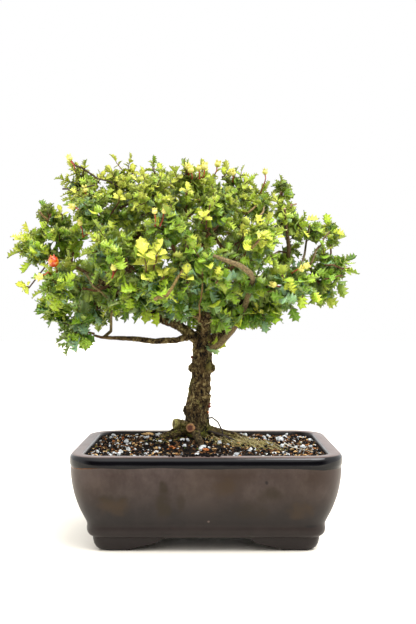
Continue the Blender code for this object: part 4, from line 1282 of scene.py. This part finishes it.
# Young sprigs: the year's new growth, larger and yellow-green, in front of the crown and over its top,
# and a few large old leaves that hang below it. A row gives a sprig's foot and tip, x and z from the
# pot's middle as seen from the front, then its size and its freshness.
EYE = Vector(CAMERA_PLACE)
SPRIGS = (
    (0.0040, 0.1900, 0.0110, 0.1790, 1.20, 0.25),
    (0.0060, 0.1950, 0.0180, 0.1870, 1.20, 0.35),
    (-0.0603, 0.2606, -0.0654, 0.2947, 1.35, 1.00),
    (-0.0523, 0.2666, -0.0463, 0.2937, 1.25, 1.00),
    (-0.0453, 0.2530, -0.0390, 0.2650, 0.95, 0.80),
    (0.0349, 0.2927, 0.0369, 0.3087, 0.90, 1.00),
    (0.0500, 0.2900, 0.0610, 0.3020, 0.80, 0.95),
    (-0.1446, 0.3127, -0.1476, 0.3278, 0.85, 1.00),
    (-0.0203, 0.3378, -0.0183, 0.3508, 0.80, 1.00),
    (-0.0193, 0.2496, -0.0193, 0.2687, 0.90, 0.80),
    (-0.0534, 0.3629, -0.0524, 0.3772, 0.62, 0.40),
    (-0.0874, 0.3308, -0.0864, 0.3428, 0.80, 0.95),
    (-0.0744, 0.3589, -0.0734, 0.3689, 0.70, 0.90),
    (0.0760, 0.2576, 0.0890, 0.2406, 0.95, 0.62),
    (0.0509, 0.2185, 0.0509, 0.2295, 0.80, 0.90),
    (-0.1777, 0.2446, -0.1897, 0.2496, 0.80, 0.85),
    (0.0098, 0.2496, 0.0128, 0.2656, 0.95, 0.58),
    (0.0160, 0.3560, 0.0260, 0.3640, 0.70, 0.75),
    (-0.1080, 0.3500, -0.1020, 0.3620, 0.70, 0.85),
    (-0.0050, 0.3100, 0.0020, 0.3230, 0.80, 0.85),
    (0.0560, 0.2180, 0.0600, 0.2010, 1.45, 0.10),
    (0.0460, 0.2190, 0.0480, 0.2050, 1.40, 0.15),
    (0.0960, 0.2350, 0.0950, 0.2250, 1.25, 0.30),
    (0.1070, 0.2400, 0.1130, 0.2310, 1.20, 0.20),
    (-0.0490, 0.2200, -0.0500, 0.2080, 1.35, 0.22),
    (-0.0600, 0.2210, -0.0610, 0.2110, 1.25, 0.30),
    (0.0350, 0.2180, 0.0320, 0.2060, 1.35, 0.22),
)
SPRIG_PAIRS = (0.45, 0.85)
SPRIG_THICK = (0.0009, 0.0008, 0.0007)
SPRIG_FACE = Vector((0, -3.0, 0.4))
SPRIG_PROUD = 0.002
SPRIG_LEAN = 0.003
SIGHTS = 5
INTO_CROWN = 0.014


def seen_at(x, z, y):
    """The point at depth y that looks, from the front, to be at x and z over the pot's middle."""
    sight = Vector((POT_X + x, 0, z)) - EYE
    return EYE + sight * (y - EYE.y) / -EYE.y


def before_crown(points, proud):
    """The depth just in front of the first leaves along a line of points, as seen from the front."""
    depth = 0.0
    for (x, z), (next_x, next_z) in zip(points, points[1:]):
        for step in range(SIGHTS):
            share = step / (SIGHTS - 1)
            sight = seen_at(x + (next_x - x) * share, z + (next_z - z) * share, 0) - EYE
            hit = crown_face.ray_cast(EYE, sight.normalized())[0]
            depth = min(depth, hit.y if hit else 0.0)
    return depth - proud


def rooted(x, z, depth):
    """A twig's first points: from what carries it to where it comes out of the crown at a depth."""
    behind = seen_at(x, z, depth + INTO_CROWN)
    return [carrier(behind), behind, seen_at(x, z, depth)]


bm = bmesh.new()
for piece in leafy:
    bm.from_mesh(piece.data)
crown_face = BVHTree.FromBMesh(bm)
bm.free()
random.seed(71)
bm, _ = tinted()
for x, z, tip_x, tip_z, size, freshness in SPRIGS:
    route = rooted(x, z, before_crown(((x, z), (tip_x, tip_z)), SPRIG_PROUD))
    base = route[-1]
    tip = seen_at(tip_x, tip_z, base.y - SPRIG_LEAN)
    stalk(bm, route, SPRIG_THICK, Vector(TWIG_BROWN))
    grow_shoot(bm, base, tip, SPRIG_FACE, freshness * 1.12, size, SPRIG_PAIRS)
new_piece(bm, "young_sprigs", [leaf, twig])

# Bare twigs: the stretches of branch that show between the leaves, and the pale ends where the tree
# was clipped, and one limb that comes forward from the right fork. A row gives a twig's points, x and z
# as seen, its radius and its colour, and the twig leaves the nearest wood or spray.
BARE_TWIGS = (
    (((-0.0510, 0.2335), (-0.0396, 0.2366), (-0.0228, 0.2630)), 0.0020, (146, 122, 65)),
    (((-0.0075, 0.2105), (-0.0050, 0.2350), (-0.0035, 0.2636)), 0.0010, (142, 108, 58)),
    (((0.0945, 0.2650), (0.0996, 0.2856), (0.1036, 0.3077)), 0.0014, (85, 71, 41)),
    (((0.0825, 0.2760), (0.0812, 0.3000), (0.0788, 0.3240)), 0.0021, (104, 80, 50)),
    (((0.0825, 0.2790), (0.0730, 0.2815), (0.0640, 0.2770)), 0.0011, (104, 80, 50)),
    (((0.1030, 0.2660), (0.1100, 0.2826), (0.1236, 0.3007)), 0.0014, (115, 97, 59)),
    (((-0.0002, 0.3037), (0.0038, 0.3278)), 0.0010, (117, 77, 44)),
    (((0.0539, 0.3107), (0.0580, 0.3258)), 0.0012, (167, 140, 90)),
    (((0.0409, 0.3198), (0.0504, 0.3278)), 0.0012, (142, 116, 64)),
    (((0.0459, 0.2847), (0.0585, 0.2997)), 0.0014, (150, 127, 72)),
    (((-0.1586, 0.3118), (-0.1667, 0.3208)), 0.0014, (150, 118, 73)),
    (((-0.1436, 0.3438), (-0.1285, 0.3423), (-0.1115, 0.3478)), 0.0010, (61, 42, 26)),
    (((-0.1366, 0.3729), (-0.1185, 0.3609), (-0.0864, 0.3448)), 0.0012, (66, 47, 28)),
    (((0.1191, 0.2676), (0.1442, 0.2646)), 0.0009, (125, 77, 47)),
    (((0.1191, 0.2536), (0.1372, 0.2566)), 0.0009, (117, 74, 43)),
    (((-0.0955, 0.2014), (-0.0945, 0.2215)), 0.0017, (133, 118, 65)),
    (((-0.1215, 0.2596), (-0.1085, 0.2426), (-0.0985, 0.2345)), 0.0011, (138, 112, 63)),
    (((-0.0062, 0.2075), (0.0058, 0.2115)), 0.0009, (155, 139, 82)),
    (((0.0850, 0.3248), (0.0902, 0.3288)), 0.0013, (146, 107, 71)),
    (((0.0730, 0.3358), (0.0752, 0.3412)), 0.0011, (133, 96, 61)),
    (((-0.0223, 0.3569), (-0.0173, 0.3629)), 0.0012, (92, 61, 36)),
)
TWIG_BEND = 0.0007
TWIG_PROUD = 0.001
TWIG_SIDES = 7
LIMB_SIDES = 10
LIMB_FOOT = (
    (-0.0010, 0.1800, -0.004), (0.0140, 0.1895, -0.008), (0.0258, 0.2025, -0.012),
    (0.0345, 0.2160, -0.018), (0.0400, 0.2340, -0.030), (0.0449, 0.2516, -0.046),
)
LIMB_SEEN = ((0.0440, 0.2596), (0.0349, 0.2666), (0.0229, 0.2711), (0.0078, 0.2767))
LIMB_THICK = (0.0034, 0.0034, 0.0033, 0.0031, 0.0028, 0.0024, 0.0026, 0.0024, 0.0021, 0.0016, 0.0012)
LIMB_BROWN = colour(142, 122, 80)
CUT_END = colour(222, 190, 150)

random.seed(83)
bm, _ = tinted()
for points, thick, shade in BARE_TWIGS:
    near = Vector(points[0]).lerp(Vector(points[1]), 0.4)
    route = rooted(*points[0], before_crown((points[0], near), TWIG_PROUD))
    for before, point in zip(points, points[1:]):
        last = route[-1]
        near = Vector(before).lerp(Vector(point), 0.6)
        place = seen_at(*point, before_crown((near, point), TWIG_PROUD))
        route += [last.lerp(place, share) + some(TWIG_BEND) for share in (0.33, 0.67)] + [place]
    radii = [thick * (1.05 - 0.5 * step / len(route)) for step in range(len(route))]
    stalk(bm, route, radii, Vector(colour(*shade)), TWIG_SIDES)
    ahead = (route[-1] - route[-2]).normalized()
    cap = [route[-1] - ahead * 0.0002, route[-1] + ahead * 0.0003]
    stalk(bm, cap, [radii[-1] * 0.97] * 2, Vector(CUT_END), TWIG_SIDES)
depth = before_crown(LIMB_SEEN, TWIG_PROUD)
route = [Vector((POT_X + x, y, z)) for x, z, y in LIMB_FOOT] + [seen_at(x, z, depth) for x, z in LIMB_SEEN]
route.append(seen_at(*LIMB_SEEN[-1], depth + INTO_CROWN))
stalk(bm, route, LIMB_THICK, Vector(LIMB_BROWN), LIMB_SIDES)
new_piece(bm, "bare_twigs", [leaf, twig])

# Flower buds: yellow, on thin red stalks, each a swollen base that opens in five pointed lobes. The
# berry is one that has ripened, on its own stalk.
LOBES = 5
BUD_PROFILE = (
    (0.0, 0.00), (0.30, 0.10), (0.50, 0.35), (0.46, 0.60), (0.36, 0.72), (0.20, 0.70), (0.0, 0.55),
)
BERRY_PROFILE = (
    (0.0, 0.0), (0.28, 0.05), (0.44, 0.22), (0.51, 0.5), (0.43, 0.78), (0.26, 0.94), (0.10, 0.97),
    (0.0, 0.93),
)
BUD_SIDES = 10
BERRY_SIDES = 24
BUD_SIZE = 0.0062
BUD_LOBES = (0.55, 0.62, 0.34, 0.26)
BERRY_SIZE = 0.0104
BERRY_LOBES = (0.90, 0.22, 0.16, 0.12)
STALK_RED = colour(196, 74, 56)
STALK_THICK = 0.0006
STALK_NECK = (0.0005, 0.0007)
MORE_PROUD = 0.003
MORE_BUDS = (
    (-0.0516, 0.3213, -0.0513, 0.3067), (-0.0418, 0.3216, -0.0463, 0.3067),
    (-0.0155, 0.3629, -0.0142, 0.3538), (-0.0072, 0.3649, -0.0072, 0.3538),
    (-0.0016, 0.3665, -0.0032, 0.3559), (0.0116, 0.3687, 0.0088, 0.3589),
    (-0.1370, 0.3747, -0.1316, 0.3639), (-0.1265, 0.3097, -0.1235, 0.2957),
    (-0.1667, 0.2556, -0.1586, 0.2606), (-0.0929, 0.2649, -0.0945, 0.2546),
    (0.1001, 0.2666, 0.0860, 0.2596), (0.0590, 0.3609, 0.0590, 0.3518),
)


def lobe(bm, put, length, width, flare):
    """A pointed petal or sepal that stands up from the axis' foot and leans out."""
    made = bmesh.ops.create_grid(bm, x_segments=2, y_segments=4, size=0.5)["verts"]
    for vertex in made:
        up = vertex.co.y + 0.5
        across = vertex.co.x * width * 2 * (0.55 + 0.9 * up - 1.45 * up * up)
        vertex.co = (flare * up + 0.12 * width, across, up * length - abs(across) * 0.2)
    faces = list(dict.fromkeys(face for vertex in made for face in vertex.link_faces))
    thick = bmesh.ops.solidify(bm, geom=faces, thickness=0.04)["geom"]
    bmesh.ops.transform(bm, matrix=put, verts=list(dict.fromkeys(made + only(thick, BMVert))))


petal = Finish("petal", Roughness=0.5)
petal.blend(petal.noise(900.0).between(0.3, 0.7), colour(226, 214, 84), colour(250, 240, 150))
petal.bump(petal.noise(1500.0), 0.0002)
red_stalk = Finish("red_stalk", Roughness=0.55)
red_stalk.blend(red_stalk.noise(700.0), STALK_RED, colour(150, 60, 40))
red_stalk.bump(red_stalk.noise(1500.0), 0.0002)
berry_skin = Finish("berry_skin", Coat_Weight=0.6, Coat_Roughness=0.08)
ripeness = berry_skin.noise(260.0, 3.0)
berry_skin.blend(ripeness.between(0.45, 0.68), colour(212, 62, 28), colour(232, 170, 50))
berry_skin.drive("Roughness", 0.22 + ripeness * 0.1)
berry_skin.bump(berry_skin.noise(700.0), 0.0003)


def head_mesh(profile, sides, lobes):
    """A bud or berry one unit long that stands on its stalk's end at the origin, with its lobes."""
    bm = bmesh.new()
    turned(bm, profile, sides)
    bmesh.ops.remove_doubles(bm, verts=bm.verts, dist=1e-4)
    for number in range(LOBES):
        turn = Matrix.Rotation(math.tau * number / LOBES, 4, "Z")
        lobe(bm, turn @ Matrix.Translation((0.18, 0, lobes[0])), *lobes[1:])
    bmesh.ops.recalc_face_normals(bm, faces=bm.faces)
    return as_mesh(bm, "head")


def stalked(bm, shape, size, head, roots):
    """A bud or berry on its stalk, which comes through the points of roots."""
    axis = (head - roots[-1]).normalized()
    put_in(bm, shape, stood(head - axis * size * 0.5, axis) @ Matrix.Scale(size, 4))
    neck = head - axis * size * 0.45
    bend = axis.orthogonal().normalized() * size * 0.15
    route = roots + [roots[-1].lerp(neck, 0.5) + bend, neck]
    stalk(bm, route, [STALK_THICK] * len(roots) + list(STALK_NECK), Vector(STALK_RED), 6)


random.seed(91)
bud = head_mesh(BUD_PROFILE, BUD_SIDES, BUD_LOBES)
berry = head_mesh(BERRY_PROFILE, BERRY_SIDES, BERRY_LOBES)
for name in sorted(frame["nodes"]):
    if name.startswith("flower_bud_") or name == "berry":
        mesh = frame["nodes"][name].data
        head = volume_middle(mesh)
        foot = max((vertex.co for vertex in mesh.vertices), key=lambda co: (co - head).length).copy()
        bm, _ = tinted()
        if name == "berry":
            stalked(bm, berry, BERRY_SIZE, head, [foot])
            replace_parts(new_piece(bm, "berry_head", [berry_skin, red_stalk]), name)
        else:
            stalked(bm, bud, BUD_SIZE, head, [foot])
            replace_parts(new_piece(bm, name + "_head", [petal, red_stalk]), name)
bm, _ = tinted()
for x, z, foot_x, foot_z in MORE_BUDS:
    route = rooted(foot_x, foot_z, before_crown(((x, z), (foot_x, foot_z)), MORE_PROUD))
    head = seen_at(x, z, route[-1].y)
    stalked(bm, bud, BUD_SIZE * random.uniform(0.85, 1.15), head, route)
new_piece(bm, "more_buds", [petal, red_stalk])
